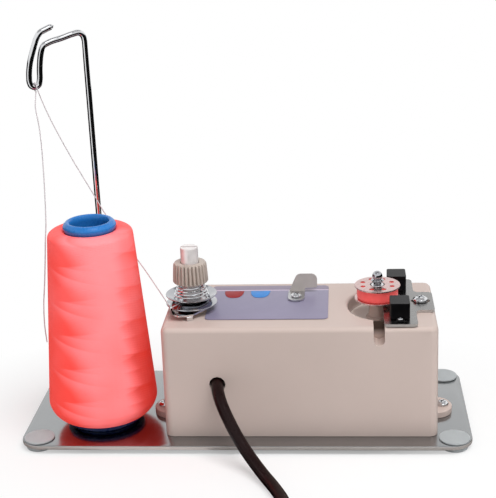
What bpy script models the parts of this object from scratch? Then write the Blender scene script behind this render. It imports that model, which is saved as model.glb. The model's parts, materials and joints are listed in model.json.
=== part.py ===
"""Desk-top automatic bobbin winder: a motor case, a thread cone and its wire stand on one steel plate."""

import math

import bmesh
import bpy
from mathutils import Matrix, Vector

mm = 0.001

# Clearances and cuts
seat_gap = 0.15 * mm
fit_gap = 0.3 * mm
run_gap = 0.08 * mm
weld = 0.5 * mm
overrun = 4 * mm
slot_end_share = 0.98

# Steps of round shapes
round_steps = 22
fine_steps = 32
small_steps = 12
tiny_steps = 8
corner_steps = 3

# Base plate and its rubber feet
plate_length = 207 * mm
plate_width = 82 * mm
plate_thickness = 2 * mm
plate_corner = 10 * mm
foot_height = 2.2 * mm
foot_inset_x = 8.2 * mm
foot_inset_y = 8 * mm
foot_flange_radius = 7 * mm
foot_flange_thickness = 0.8 * mm
foot_neck_radius = 3 * mm
foot_pad_radius = 6 * mm
plate_bottom = foot_height
plate_top = plate_bottom + plate_thickness

# Case: a moulded box, open below
case_left = -36.2 * mm
case_length = 124 * mm
case_front = -31.3 * mm
case_depth = 58.2 * mm
case_height = 53.4 * mm
case_draft = 0.3 * mm
case_corner = 3.6 * mm
case_top_round = 2.4 * mm
case_wall = 2.5 * mm
case_roof = 3 * mm
case_foot = plate_top + seat_gap
case_top = plate_top + case_height
case_right = case_left + case_length
case_back = case_front + case_depth
case_mid_x = (case_left + case_right) / 2
case_mid_y = (case_front + case_back) / 2
roof_under = case_top - case_roof

# Ears that screw the case down
ear_radius = 8.7 * mm
ear_thickness = 3 * mm
ear_y = -5 * mm
ear_screw_out = 4.2 * mm
ear_head_radius = 2.9 * mm
ear_head_height = 1.8 * mm
ear_shank_radius = 1.6 * mm
ear_top = case_foot + ear_thickness

# Spindle, standing in an oval dish in the roof
spindle_x = 61.7 * mm
spindle_y = -2.4 * mm
dish_half_x = 13.7 * mm
dish_half_y = 18.6 * mm
dish_depth = 6.5 * mm
dish_floor = 2 * mm
dish_wall = 2.1 * mm
dish_rim_round = 1.6 * mm
dish_foot_round = 1.5 * mm
dish_hole_radius = 4.6 * mm
dish_bottom = case_top - dish_depth
slot_width = 5 * mm
slot_depth = 8.8 * mm
slot_wall = 2.2 * mm
slot_overlap = 2.6 * mm
slot_inner_y = spindle_y - dish_half_y + slot_overlap

# Motor under the dish
hub_radius = 4 * mm
hub_foot = dish_bottom + fit_gap
seat_radius = 5.4 * mm
seat_thickness = 0.9 * mm
bobbin_floor = case_top + 2.6 * mm
pin_radius = 2.95 * mm
pin_length = 7.2 * mm
pin_chamfer = 0.4 * mm
shaft_radius = 1.5 * mm
shaft_foot = plate_top + 6 * mm
bracket_thickness = 1.6 * mm
bracket_drop = 3.5 * mm
bracket_top = dish_bottom - dish_floor - bracket_drop
bracket_margin = 1.6 * mm
bracket_left_reach = 24.5 * mm
bracket_half_y = 21 * mm
bracket_hole_radius = 4.4 * mm
bracket_corner = 3 * mm
pillar_radius = 3.4 * mm
pillar_hole_radius = 1.3 * mm
pillar_hole_depth = 7 * mm
pillar_places = ((-20.2 * mm, 0), (18.4 * mm, 16 * mm))
bracket_screw_head_radius = 2.6 * mm
bracket_screw_head_height = 1.6 * mm
bracket_screw_shank_radius = 1.1 * mm
bracket_screw_reach = 5 * mm
can_radius = 14 * mm
can_height = 30 * mm
can_wall = 1.2 * mm
can_boss_radius = 4 * mm
can_round = 1.4 * mm
can_vent_radius = 6.5 * mm
rotor_radius = 11 * mm
rotor_height = 17 * mm
rotor_foot_rise = 4.5 * mm
bearing_radius = 3.4 * mm
bearing_length = 2.6 * mm
can_top = bracket_top - bracket_thickness - seat_gap
can_foot = can_top - can_height

# Clip on the spindle's tip
clip_stem_radius = 1.9 * mm
clip_bulge_radius = 3.2 * mm
clip_bulge_rise = 1.9 * mm
clip_neck_radius = 1.7 * mm
clip_neck_rise = 2.7 * mm
clip_ball_radius = 2.35 * mm
clip_slit = 0.7 * mm
clip_slit_depth = 3.4 * mm

# Bobbin and the thread wound on it
bobbin_radius = 10.5 * mm
bobbin_height = 7 * mm
bobbin_flange = 0.8 * mm
bobbin_bore_radius = 3.35 * mm
bobbin_hub_radius = 4.1 * mm
bobbin_hole_count = 8
bobbin_hole_radius = 1.15 * mm
bobbin_hole_circle = 7.2 * mm
bobbin_thread_radius = 9.5 * mm
bobbin_bottom = bobbin_floor + seat_gap

# Full-bobbin sensor: a slotted T plate with two blocks
t_thickness = 1.2 * mm
t_left = 2.3 * mm
t_bar = 14.8 * mm
t_stem_end = 25.6 * mm
t_front = case_front + 0.7 * mm
t_back = case_back - 0.6 * mm
t_stem_half = 11.2 * mm
t_corner = 1.6 * mm
t_inner_corner = 2.6 * mm
t_notch_radius = 7.6 * mm
t_slot_x = 19.7 * mm
t_slot_half = 2.6 * mm
t_slot_radius = 1.9 * mm
t_travel = 2 * mm
t_bottom = case_top + seat_gap
t_top = t_bottom + t_thickness
t_head_radius = 3.5 * mm
t_head_height = 2.1 * mm
t_shank_radius = 1.5 * mm
t_boss_radius = 3.3 * mm
t_boss_depth = 8 * mm
block_x = 9.4 * mm
block_width = 8.8 * mm
block_depth = 10.8 * mm
block_height = 7.4 * mm
block_clear = 12 * mm
block_round = 0.9 * mm
block_tab_radius = 1.9 * mm
block_tab_reach = 1.8 * mm
block_tab_thickness = 0.6 * mm
block_lead_radius = 1 * mm
block_lead_length = 6 * mm
block_lead_inset = 3 * mm
block_window_radius = 1.2 * mm
block_window_depth = 0.6 * mm
block_window_rise = 4.2 * mm
block_screw_head_radius = 1.25 * mm
block_screw_head_height = 0.8 * mm
block_screw_shank_radius = 0.7 * mm

# Panel: label, two round keys and the board under them
label_left = -17 * mm
label_width = 56 * mm
label_front = -21 * mm
label_depth = 42.5 * mm
label_corner = 2.4 * mm
label_thickness = 0.3 * mm
label_top = case_top + seat_gap + label_thickness
key_y = 10 * mm
stop_key_x = -6 * mm
start_key_x = 6.5 * mm
key_radius = 4.6 * mm
key_rise = 0.6 * mm
key_sink = 0.15 * mm
key_travel = 0.5 * mm
key_pocket_depth = 0.85 * mm
key_stem_radius = 1.5 * mm
key_collar_radius = 2.3 * mm
key_collar_height = 1 * mm
key_stem_drop = 1.4 * mm
panel_board_length = 34 * mm
panel_board_depth = 13 * mm
panel_board_thickness = 1.4 * mm
panel_switch_width = 6 * mm
panel_switch_height = 3.2 * mm
panel_plunger_radius = 1.4 * mm
panel_plunger_height = 0.8 * mm
panel_post_radius = 2 * mm
panel_post_pin_radius = 0.9 * mm
panel_post_inset = 3 * mm

# Thread cutter beside the label's keys
cutter_x = 23.9 * mm
cutter_screw_y = 4.6 * mm
cutter_half = 3.85 * mm
cutter_front = -0.6 * mm
cutter_back = 12.4 * mm
cutter_thickness = 0.8 * mm
cutter_flag_reach = 9.7 * mm
cutter_flag_low = 2.3 * mm
cutter_flag_high = 9 * mm
cutter_flag_shift = 0.9 * mm
cutter_flag_round = 2.6 * mm
cutter_lean_deg = 12
cutter_head_radius = 2.5 * mm
cutter_head_height = 1.5 * mm
cutter_shank_radius = 1.3 * mm
cutter_shank_length = 4.6 * mm

# Thread tension: stud, guide, two discs, spring, washer and nut
tension_x = -24 * mm
tension_y = -8 * mm
stud_radius = 4.05 * mm
stud_top = plate_top + 84.4 * mm
stud_foot = plate_top + 44 * mm
stud_chamfer = 0.5 * mm
stud_slot_width = 1.1 * mm
stud_slot_depth = 1.2 * mm
stud_nut_half = 6.5 * mm
stud_nut_height = 4 * mm
bush_radius = 6.6 * mm
bush_height = 1.8 * mm
guide_thickness = 0.8 * mm
guide_reach = 13 * mm
guide_plate_shares = (
    (-0.8, -0.36, 0.08),
    (-0.8, -0.88, 0.08),
    (-0.5, -0.98, 0.06),
    (-0.24, -0.98, 0.06),
    (0.5, -0.46, 0.22),
    (0.5, 0.36, 0.26),
    (-0.16, 0.56, 0.26),
    (-0.54, 0.22, 0.14),
)
guide_ear_start_shares = (-0.6, -0.63)
guide_ear_shares = ((0.18, 1), (0.6, 1), (0.82, 0.88), (0.94, 0.66), (1.0, 0.36))
guide_ear_deg = 174
guide_ear_lean_deg = 16
guide_ear_half = 2.8 * mm
guide_ear_reach = 3.5 * mm
guide_ear_height = 5.4 * mm
guide_eye_radius = 1.4 * mm
guide_eye_rise = 3.2 * mm
guide_bend = 0.8 * mm
guide_strip = 0.7 * mm
guide_foot_start_shares = (-0.37, -0.7)
guide_foot_deg = 270
guide_foot_reach = 3.4 * mm
guide_foot_half = 1.4 * mm
guide_foot_strip = 0.62 * mm
spacer_radius = 6.4 * mm
spacer_height = 2 * mm
disc_radius = 11.8 * mm
disc_sheet = 0.5 * mm
disc_flat_radius = 7.4 * mm
disc_dish = 1.5 * mm
disc_gap = 0.8 * mm
disc_lift = 1.2 * mm
spring_wire_radius = 0.45 * mm
spring_low_radius = 7.9 * mm
spring_high_radius = 5.7 * mm
spring_turns = 4.5
spring_points_per_turn = 10
spring_height = 5.7 * mm
washer_radius = 6.9 * mm
washer_thickness = 0.8 * mm
nut_low_radius = 8.15 * mm
nut_high_radius = 7.6 * mm
nut_height = 8.1 * mm
nut_round = 0.8 * mm
nut_ribs = 26
nut_rib_depth = 0.45 * mm
nut_turns = 1.5
nut_pitch = 0.7 * mm
bush_foot = case_top + seat_gap
guide_bottom = bush_foot + bush_height + seat_gap
guide_top = guide_bottom + guide_thickness
spacer_foot = guide_top + seat_gap
low_disc_flat = spacer_foot + spacer_height + seat_gap
high_disc_flat = low_disc_flat + disc_sheet + disc_gap
spring_foot = high_disc_flat + disc_sheet + spring_wire_radius + seat_gap
washer_foot = spring_foot + spring_height + spring_wire_radius + seat_gap
nut_foot = washer_foot + washer_thickness + seat_gap

# Mains lead leaving the case's front wall
lead_radius = 2.8 * mm
lead_x = -11.3 * mm
lead_z = plate_top + 26.3 * mm
lead_hole_radius = 3.7 * mm
clamp_width = 13 * mm
clamp_height = 12 * mm
clamp_depth = 7 * mm
clamp_round = 1.2 * mm
power_depth = 26 * mm
power_width = 32 * mm
power_front = -13 * mm
power_height = 34 * mm
power_core_share = 0.62
board_x = 24 * mm
board_thickness = 1.6 * mm
board_half_y = 20 * mm
board_low = 7 * mm
board_high = 42 * mm
board_part_depth = 9 * mm
board_part_half = 6 * mm
board_part_high = 24 * mm
rib_width = 1.5 * mm
rib_depth = 4 * mm
rib_low = 6 * mm

# Wire thread stand: places along its plane (reach, height above the plate)
wire_radius = 1.4 * mm
stand_x = -73.1 * mm
stand_y = 32 * mm
stand_turn_deg = 55
stand_foot_drop = 3.7 * mm
stand_step = 1.9 * mm
stand_route = (
    (0, 172.8 * mm),
    (0.35 * mm, 174.9 * mm),
    (1.4 * mm, 176.5 * mm),
    (3 * mm, 177.15 * mm),
    (5.2 * mm, 176.9 * mm),
    (11.5 * mm, 175.55 * mm),
    (18 * mm, 174.2 * mm),
    (20.8 * mm, 172.9 * mm),
    (21.9 * mm, 170.4 * mm),
    (22.8 * mm, 166.6 * mm),
    (23.4 * mm, 162.4 * mm),
    (23.9 * mm, 157.4 * mm),
    (24.6 * mm, 155.4 * mm),
    (26.35 * mm, 154.65 * mm),
    (28.1 * mm, 155.4 * mm),
    (28.8 * mm, 157.3 * mm),
    (28.8 * mm, 160 * mm),
    (28.3 * mm, 163.6 * mm),
    (27.3 * mm, 167.4 * mm),
    (25.8 * mm, 171.4 * mm),
    (24.4 * mm, 174.8 * mm),
    (23.1 * mm, 177.5 * mm),
    (21.6 * mm, 179.2 * mm),
    (19.2 * mm, 180.2 * mm),
    (15.4 * mm, 181.5 * mm),
)
stand_loop_index = 13
stand_nut_half = 2.9 * mm
stand_nut_high = 2.4 * mm
stand_nut_low = 1.5 * mm

# Thread cone on its short post
cone_x = -68 * mm
cone_y = -13 * mm
core_low_radius = 18.3 * mm
core_high_radius = 11 * mm
core_height = 99 * mm
core_low_bore = 15.3 * mm
core_high_bore = 8.5 * mm
core_rim_radius = 11.9 * mm
core_rim_height = 4.4 * mm
package_low = 4.4 * mm
package_wide_z = 12.5 * mm
package_wide_radius = 25.5 * mm
package_high_z = 92.5 * mm
package_high_radius = 19.4 * mm
package_low_radius = 20 * mm
package_top_rise = 3 * mm
package_top_round = 1.9 * mm
post_disc_radius = 14.6 * mm
post_disc_height = 2 * mm
post_radius = 6 * mm
post_height = 12 * mm
post_round = 1.5 * mm
post_hole_radius = 1.9 * mm
post_hole_depth = 8 * mm
post_screw_head_radius = 3.4 * mm
post_screw_head_height = 1 * mm
post_screw_shank_radius = 1.6 * mm
post_screw_reach = 6 * mm

# Thread from the cone to the wire loop and on to the tension discs
thread_radius = 0.22 * mm
thread_clear = 0.7 * mm
thread_side_deg = 193
thread_heights = (42 * mm, 50 * mm, 60 * mm, 72 * mm, 84 * mm, 92 * mm)
thread_stand_off = (0, 0.9 * mm, 1.2 * mm, 0.6 * mm, 0.2 * mm, 0)
thread_on_loop = wire_radius + thread_radius + fit_gap
thread_up = (
    (-87.1 * mm, -17.3 * mm, 96 * mm),
    (-88.1 * mm, -9.3 * mm, 109.9 * mm),
    (-89.5 * mm, -2.1 * mm, 122.3 * mm),
    (-90.6 * mm, 2.7 * mm, 130.7 * mm),
    (-92.2 * mm, 7.5 * mm, 139 * mm),
    (-94.2 * mm, 12 * mm, 146.7 * mm),
)
thread_down = (
    (-91.4 * mm, 16.2 * mm, 146.7 * mm),
    (-81 * mm, 15 * mm, 123 * mm),
    (-70.5 * mm, 11 * mm, 105 * mm),
    (-63.7 * mm, 7.8 * mm, 94 * mm),
    (-56.6 * mm, 5.2 * mm, 85.8 * mm),
    (-51.6 * mm, 1.5 * mm, 78.1 * mm),
    (-45.5 * mm, -4 * mm, 71.6 * mm),
)
thread_end_share = 0.8
thread_step = 7 * mm
thread_wrap_degrees = (290, 255, 220, 185, 150, 120, 90)

# The mains lead's route outside, its coil and its plug
lead_route = (
    (-11.3 * mm, -31.3 * mm, 26.2 * mm),
    (-10.5 * mm, -36.8 * mm, 24.9 * mm),
    (-8.5 * mm, -41.9 * mm, 21.4 * mm),
    (-5.4 * mm, -46.4 * mm, 16.4 * mm),
    (-1.6 * mm, -50.7 * mm, 10.8 * mm),
    (2.6 * mm, -55.2 * mm, 5.8 * mm),
    (7 * mm, -60.4 * mm, 2 * mm),
    (11.4 * mm, -66.6 * mm, -0.5 * mm),
    (15.6 * mm, -74 * mm, -1.35 * mm),
    (19.6 * mm, -84 * mm, -1.1 * mm),
    (22.6 * mm, -97 * mm, -0.6 * mm),
    (23.8 * mm, -110 * mm, -0.6 * mm),
    (24 * mm, -124 * mm, -0.6 * mm),
)
lead_sample = 7.5 * mm
coil_rise = 0.8 * mm
coil_turns = 6.25
coil_pitch = 6.2 * mm
coil_mean_radius = 33.2 * mm
coil_points_per_turn = 24
coil_centre_y = -145 * mm
coil_lead_x = 24 * mm
tie_width = 6 * mm
tie_thickness = 0.5 * mm
tie_deg = 155
tail_length = 30 * mm
plug_length = 36 * mm
plug_half_width = 17.4 * mm
plug_half_height = 6.7 * mm
plug_neck_radius = 4.4 * mm
plug_neck_length = 9 * mm
plug_nose_length = 10 * mm
plug_nose_half_width = 13.6 * mm
plug_nose_half_height = 6.3 * mm
plug_corner = 4 * mm
plug_pin_radius = 2 * mm
plug_pin_length = 19 * mm
plug_pin_spread = 9.3 * mm
plug_pin_round = 1 * mm

# The inside end of the lead meets the power block's face
lead_inner_y = power_front - fit_gap


def clear_scene():
    for thing in list(bpy.data.objects):
        bpy.data.objects.remove(thing, do_unlink=True)


def make_material(name, colour, roughness, metallic=0.0):
    """A plain Principled material; the colour is sRGB as seen."""
    material = bpy.data.materials.new(name)
    material.use_nodes = True
    shader = material.node_tree.nodes["Principled BSDF"]
    linear = [((c + 0.055) / 1.055) ** 2.4 if c > 0.04045 else c / 12.92 for c in colour]
    shader.inputs["Base Color"].default_value = (*linear, 1.0)
    shader.inputs["Roughness"].default_value = roughness
    shader.inputs["Metallic"].default_value = metallic
    return material


def make_materials():
    return {
        "beige": make_material("beige plastic", (0.77, 0.71, 0.67), 0.5),
        "steel": make_material("zinc-plated steel", (0.66, 0.67, 0.68), 0.35, 1.0),
        "chrome": make_material("chrome", (0.8, 0.8, 0.81), 0.12, 1.0),
        "rubber": make_material("clear rubber", (0.82, 0.82, 0.8), 0.6),
        "label": make_material("label film", (0.62, 0.6, 0.68), 0.4),
        "red": make_material("red key", (0.72, 0.22, 0.22), 0.4),
        "blue": make_material("blue key", (0.25, 0.6, 0.87), 0.4),
        "black": make_material("black plastic", (0.08, 0.08, 0.09), 0.45),
        "thread": make_material("coral thread", (1.0, 0.42, 0.42), 0.7),
        "core": make_material("blue cone plastic", (0.2, 0.5, 0.86), 0.4),
        "board": make_material("circuit board", (0.1, 0.4, 0.22), 0.5),
        "copper": make_material("copper winding", (0.72, 0.42, 0.25), 0.4, 1.0),
    }


def finish_mesh(name, bm, material, location=(0, 0, 0)):
    """Turn a bmesh into an object, its faces out and its round sides smooth."""
    bmesh.ops.remove_doubles(bm, verts=bm.verts, dist=weld * 0.001)
    bmesh.ops.recalc_face_normals(bm, faces=bm.faces)
    mesh = bpy.data.meshes.new(name)
    bm.to_mesh(mesh)
    bm.free()
    mesh.shade_smooth()
    mesh.set_sharp_from_angle(angle=math.radians(35))
    if material:
        mesh.materials.append(material)
    thing = bpy.data.objects.new(name, mesh)
    thing.location = location
    bpy.context.scene.collection.objects.link(thing)
    return thing


def loft_mesh(rings):
    """A closed solid through rings of equally many points."""
    bm = bmesh.new()
    loops = [[bm.verts.new(p) for p in ring] for ring in rings]
    count = len(loops[0])
    for low, high in zip(loops, loops[1:]):
        for i in range(count):
            j = (i + 1) % count
            bm.faces.new((low[i], low[j], high[j], high[i]))
    bm.faces.new(loops[0][::-1])
    bm.faces.new(loops[-1])
    return bm


def lathe_mesh(profile, steps=round_steps):
    """Turn a closed (radius, height) outline about Z."""
    bm = bmesh.new()
    rings = []
    for radius, height in profile:
        if radius == 0:
            rings.append([bm.verts.new((0, 0, height))])
            continue
        turns = [2 * math.pi * i / steps for i in range(steps)]
        rings.append([bm.verts.new((radius * math.cos(a), radius * math.sin(a), height)) for a in turns])
    for one, two in zip(rings, rings[1:] + rings[:1]):
        if len(one) == 1 and len(two) == 1:
            continue
        for i in range(steps):
            j = (i + 1) % steps
            if len(one) == 1:
                bm.faces.new((one[0], two[i], two[j]))
            elif len(two) == 1:
                bm.faces.new((one[i], one[j], two[0]))
            else:
                bm.faces.new((one[i], one[j], two[j], two[i]))
    return bm


def lathe(name, profile, material, location=(0, 0, 0), steps=round_steps):
    return finish_mesh(name, lathe_mesh(profile, steps), material, location)


def rod_profile(radius, low, high, low_chamfer=0, high_chamfer=0):
    profile = [(0, low)]
    profile += [(radius - low_chamfer, low), (radius, low + low_chamfer)] if low_chamfer else [(radius, low)]
    profile += [(radius, high - high_chamfer), (radius - high_chamfer, high)] if high_chamfer else [(radius, high)]
    return profile + [(0, high)]


def ring_profile(inner, outer, low, high):
    return [(inner, low), (outer, low), (outer, high), (inner, high)]


def screw_profile(head_radius, head_height, shank_radius, shank_end, seat, dome=0.6):
    """A round-headed screw whose head sits at seat and whose shank ends at shank_end."""
    crown = seat + head_height
    return [
        (0, shank_end),
        (shank_radius, shank_end),
        (shank_radius, seat),
        (head_radius, seat),
        (head_radius, seat + head_height * (1 - dome)),
        (head_radius * 0.8, seat + head_height * 0.88),
        (head_radius * 0.45, crown),
        (0, crown),
    ]


def rounded_rectangle(half_x, half_y, radius, steps=corner_steps):
    """The points of a rounded rectangle, anticlockwise."""
    points = []
    corners = ((1, 1, 0), (-1, 1, 90), (-1, -1, 180), (1, -1, 270))
    for side_x, side_y, start in corners:
        for i in range(steps + 1):
            a = math.radians(start + 90 * i / steps)
            x = side_x * (half_x - radius) + radius * math.cos(a)
            y = side_y * (half_y - radius) + radius * math.sin(a)
            points.append((x, y))
    return points


def rounded_outline(corners, steps=corner_steps):
    """The points of a polygon whose corners (x, y, radius) are rounded."""
    points = []
    count = len(corners)
    for i, (x, y, radius) in enumerate(corners):
        here = Vector((x, y))
        if radius == 0:
            points.append((x, y))
            continue
        back = (Vector(corners[i - 1][:2]) - here).normalized()
        ahead = (Vector(corners[(i + 1) % count][:2]) - here).normalized()
        half = back.angle(ahead) / 2
        middle = here + (back + ahead).normalized() * radius / math.sin(half)
        first = here + back * radius / math.tan(half) - middle
        last = here + ahead * radius / math.tan(half) - middle
        sweep = first.angle_signed(last)
        for k in range(steps + 1):
            turned = Matrix.Rotation(-sweep * k / steps, 2) @ first
            points.append(tuple(middle + turned))
    return points


def prism(name, outline, low, high, material, location=(0, 0, 0)):
    rings = [[(x, y, z) for x, y in outline] for z in (low, high)]
    return finish_mesh(name, loft_mesh(rings), material, location)


def block(name, low, high, material):
    (x0, y0, z0), (x1, y1, z1) = low, high
    outline = [(x0, y0), (x1, y0), (x1, y1), (x0, y1)]
    return prism(name, outline, z0, z1, material)


def tube(name, points, radius, material, resolution):
    """A round wire or cord with flat ends along points."""
    curve = bpy.data.curves.new(name, "CURVE")
    curve.dimensions = "3D"
    curve.bevel_depth = radius
    curve.bevel_resolution = resolution
    curve.use_fill_caps = True
    spline = curve.splines.new("POLY")
    spline.points.add(len(points) - 1)
    for target, point in zip(spline.points, points):
        target.co = (*point, 1)
    curve.materials.append(material)
    thing = bpy.data.objects.new(name, curve)
    bpy.context.scene.collection.objects.link(thing)
    return thing


def smooth_route(points, step):
    """Points about step apart on a smooth curve through the given points."""
    places = [Vector(p) for p in points]
    spans = [(b - a).length for a, b in zip(places, places[1:])]
    slopes = [(b - a) / span for a, b, span in zip(places, places[1:], spans)]
    leans = [slopes[0]]
    for i in range(1, len(spans)):
        leans.append((slopes[i - 1] * spans[i] + slopes[i] * spans[i - 1]) / (spans[i - 1] + spans[i]))
    leans.append(slopes[-1])
    dense = [places[0]]
    parts = 24
    for i, span in enumerate(spans):
        for k in range(1, parts + 1):
            t = k / parts
            ends = places[i].lerp(places[i + 1], t * t * (3 - 2 * t))
            dense.append(ends + leans[i] * span * t * (1 - t) ** 2 - leans[i + 1] * span * t * t * (1 - t))
    lengths = [0]
    for one, two in zip(dense, dense[1:]):
        lengths.append(lengths[-1] + (two - one).length)
    count = max(2, round(lengths[-1] / step))
    route, k = [], 0
    for i in range(count + 1):
        along = lengths[-1] * i / count
        while k < len(dense) - 2 and lengths[k + 1] < along:
            k += 1
        share = (along - lengths[k]) / (lengths[k + 1] - lengths[k])
        route.append(dense[k].lerp(dense[k + 1], min(1, share)))
    return route


def route_length(points):
    return sum((Vector(b) - Vector(a)).length for a, b in zip(points, points[1:]))


def combine(target, tool, operation):
    """Add a Boolean whose tool stays hidden."""
    modifier = target.modifiers.new(tool.name, "BOOLEAN")
    modifier.operation = operation
    modifier.object = tool
    tool.hide_render = True
    tool.display_type = "WIRE"


def cut(target, tool):
    combine(target, tool, "DIFFERENCE")


def join(target, tool):
    combine(target, tool, "UNION")


def combine_all(target, name, tools, operation):
    """Add one Boolean for a whole group of tools."""
    group = bpy.data.collections.new(name)
    for tool in tools:
        group.objects.link(tool)
        tool.hide_render = True
        tool.display_type = "WIRE"
    modifier = target.modifiers.new(name, "BOOLEAN")
    modifier.operation = operation
    modifier.operand_type = "COLLECTION"
    modifier.collection = group


def hole(name, x, y, radius, low, high, steps=small_steps):
    """An upright round cutter."""
    return lathe(name, rod_profile(radius, low, high), None, (x, y, 0), steps)


def hexagon(half):
    side = half / math.cos(math.pi / 6)
    return [(side * math.cos(math.pi * i / 3), side * math.sin(math.pi * i / 3)) for i in range(6)]


def hex_nut(name, half, bore, low, high, material, location):
    """A six-sided nut round a stud."""
    nut = prism(name, hexagon(half), low, high, material, location)
    cut(nut, hole(name + "_bore", location[0], location[1], bore, low - overrun, high + overrun))
    return nut


def foot_places():
    x = plate_length / 2 - foot_inset_x
    y = plate_width / 2 - foot_inset_y
    return {
        "front_left": (-x, -y),
        "front_right": (x, -y),
        "rear_left": (-x, y),
        "rear_right": (x, y),
    }


def ear_screw_places():
    return {
        "left": (case_left - ear_screw_out, ear_y),
        "right": (case_right + ear_screw_out, ear_y),
    }


def make_base(mats):
    """The steel plate, its four feet and the case's two screws."""
    outline = rounded_rectangle(plate_length / 2, plate_width / 2, plate_corner)
    plate = prism("base_plate", outline, plate_bottom, plate_top, mats["steel"])
    low, high = plate_bottom - overrun, plate_top + overrun
    for corner, (x, y) in foot_places().items():
        cut(plate, hole("foot_hole_" + corner, x, y, foot_neck_radius + fit_gap, low, high))
        pad_top = plate_bottom - seat_gap
        flange = plate_top + seat_gap
        profile = [
            (0, 0),
            (foot_pad_radius, 0),
            (foot_pad_radius, pad_top),
            (foot_neck_radius, pad_top),
            (foot_neck_radius, flange),
            (foot_flange_radius, flange),
            (foot_flange_radius, flange + foot_flange_thickness / 2),
            (foot_flange_radius - foot_flange_thickness, flange + foot_flange_thickness),
            (0, flange + foot_flange_thickness),
        ]
        lathe("foot_" + corner, profile, mats["rubber"], (x, y, 0), small_steps)
    for side, (x, y) in ear_screw_places().items():
        cut(plate, hole("ear_plate_hole_" + side, x, y, ear_shank_radius + fit_gap, low, high))
        seat = ear_top + seat_gap
        profile = screw_profile(ear_head_radius, ear_head_height, ear_shank_radius, plate_bottom, seat)
        lathe("case_screw_" + side, profile, mats["chrome"], (x, y, 0), small_steps)
    cut(plate, hole("stand_hole", stand_x, stand_y, wire_radius + fit_gap, low, high))
    cut(plate, hole("post_screw_hole", cone_x, cone_y, post_screw_shank_radius + fit_gap, low, high))
    sunk = plate_bottom + post_screw_head_height + fit_gap
    cut(plate, hole("post_screw_sink", cone_x, cone_y, post_screw_head_radius + fit_gap, low, sunk))
    return plate


def case_ring(inset, height):
    half_x = case_length / 2 - inset
    half_y = case_depth / 2 - inset
    outline = rounded_rectangle(half_x, half_y, max(case_corner - inset, weld))
    return [(case_mid_x + x, case_mid_y + y, height) for x, y in outline]


def case_outside():
    rings = [case_ring(-case_draft, case_foot)]
    for i in range(corner_steps + 1):
        a = math.pi / 2 * i / corner_steps
        rings.append(
            case_ring(case_top_round * (1 - math.cos(a)), case_top - case_top_round * (1 - math.sin(a)))
        )
    return loft_mesh(rings)


def dish_ring(grow, height):
    turns = [2 * math.pi * i / fine_steps for i in range(fine_steps)]
    half_x, half_y = dish_half_x + grow, dish_half_y + grow
    return [
        (spindle_x + half_x * math.cos(a), spindle_y + half_y * math.sin(a), height) for a in turns
    ]


def dish_cutter():
    """The dish's hollow: a rounded foot, steep sides and a rounded rim."""
    rings = []
    for i in range(corner_steps + 1):
        a = math.pi / 2 * i / corner_steps
        rings.append(
            dish_ring(dish_foot_round * (math.sin(a) - 1), dish_bottom + dish_foot_round * (1 - math.cos(a)))
        )
    for i in range(corner_steps + 1):
        a = math.pi / 2 * i / corner_steps
        rings.append(
            dish_ring(dish_rim_round * (1 - math.cos(a)), case_top - dish_rim_round * (1 - math.sin(a)))
        )
    rings.append(dish_ring(dish_rim_round, case_top + overrun))
    return finish_mesh("dish_hollow", loft_mesh(rings), None)


def slot_cutter():
    """The U-shaped slot from the dish out through the front wall."""
    half = slot_width / 2
    bottom = case_top - slot_depth
    outline = [(half, case_top + overrun), (-half, case_top + overrun)]
    for i in range(2 * corner_steps + 1):
        a = math.pi + math.pi * i / (2 * corner_steps)
        outline.append((half * math.cos(a), bottom + half + half * math.sin(a)))
    rings = [[(spindle_x + x, y, z) for x, z in outline] for y in (case_front - overrun, slot_inner_y)]
    return finish_mesh("slot_hollow", loft_mesh(rings), None)


def bracket_screw_places():
    return [(spindle_x + dx, spindle_y + dy) for dx, dy in pillar_places]


def sensor_places():
    """Front and rear block centres along Y, with the side that looks away from the bobbin."""
    away = block_clear + block_depth / 2
    return {"emitter": (spindle_y - away, -1), "receiver": (spindle_y + away, 1)}


def lead_places():
    return {
        name: (spindle_x + block_x, y + side * (block_depth / 2 - block_lead_inset))
        for name, (y, side) in sensor_places().items()
    }


def panel_levels():
    """Heights of a key's stem end, the switch body's top and the board's top."""
    stem_end = roof_under - key_collar_height - key_travel - key_stem_drop
    switch_top = stem_end - key_travel - fit_gap - panel_plunger_height
    return stem_end, switch_top, switch_top - panel_switch_height


def panel_post_places():
    middle = (stop_key_x + start_key_x) / 2
    reach = panel_board_length / 2 - panel_post_inset
    return [(middle - reach, key_y), (middle + reach, key_y)]


def make_case(mats):
    """The moulded case with its dish, slot, ears, posts and holes."""
    case = finish_mesh("case_shell", case_outside(), mats["beige"])
    profile = rod_profile(ear_radius, case_foot, ear_top, high_chamfer=run_gap * 4)
    ears = []
    for side, x in (("left", case_left), ("right", case_right)):
        ears.append(lathe("ear_" + side, profile, None, (x, ear_y, 0)))
    combine_all(case, "ears", ears, "UNION")
    half_x = case_length / 2 - case_wall
    half_y = case_depth / 2 - case_wall
    outline = rounded_rectangle(half_x, half_y, case_corner - case_wall)
    hollow = prism(
        "case_hollow", outline, case_foot - overrun, roof_under, None, (case_mid_x, case_mid_y, 0)
    )
    cut(case, hollow)
    combine_all(case, "inner_walls", [*dish_walls(), *panel_posts(), *board_ribs()], "UNION")
    combine_all(case, "case_holes", case_holes(), "DIFFERENCE")
    return case


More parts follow.
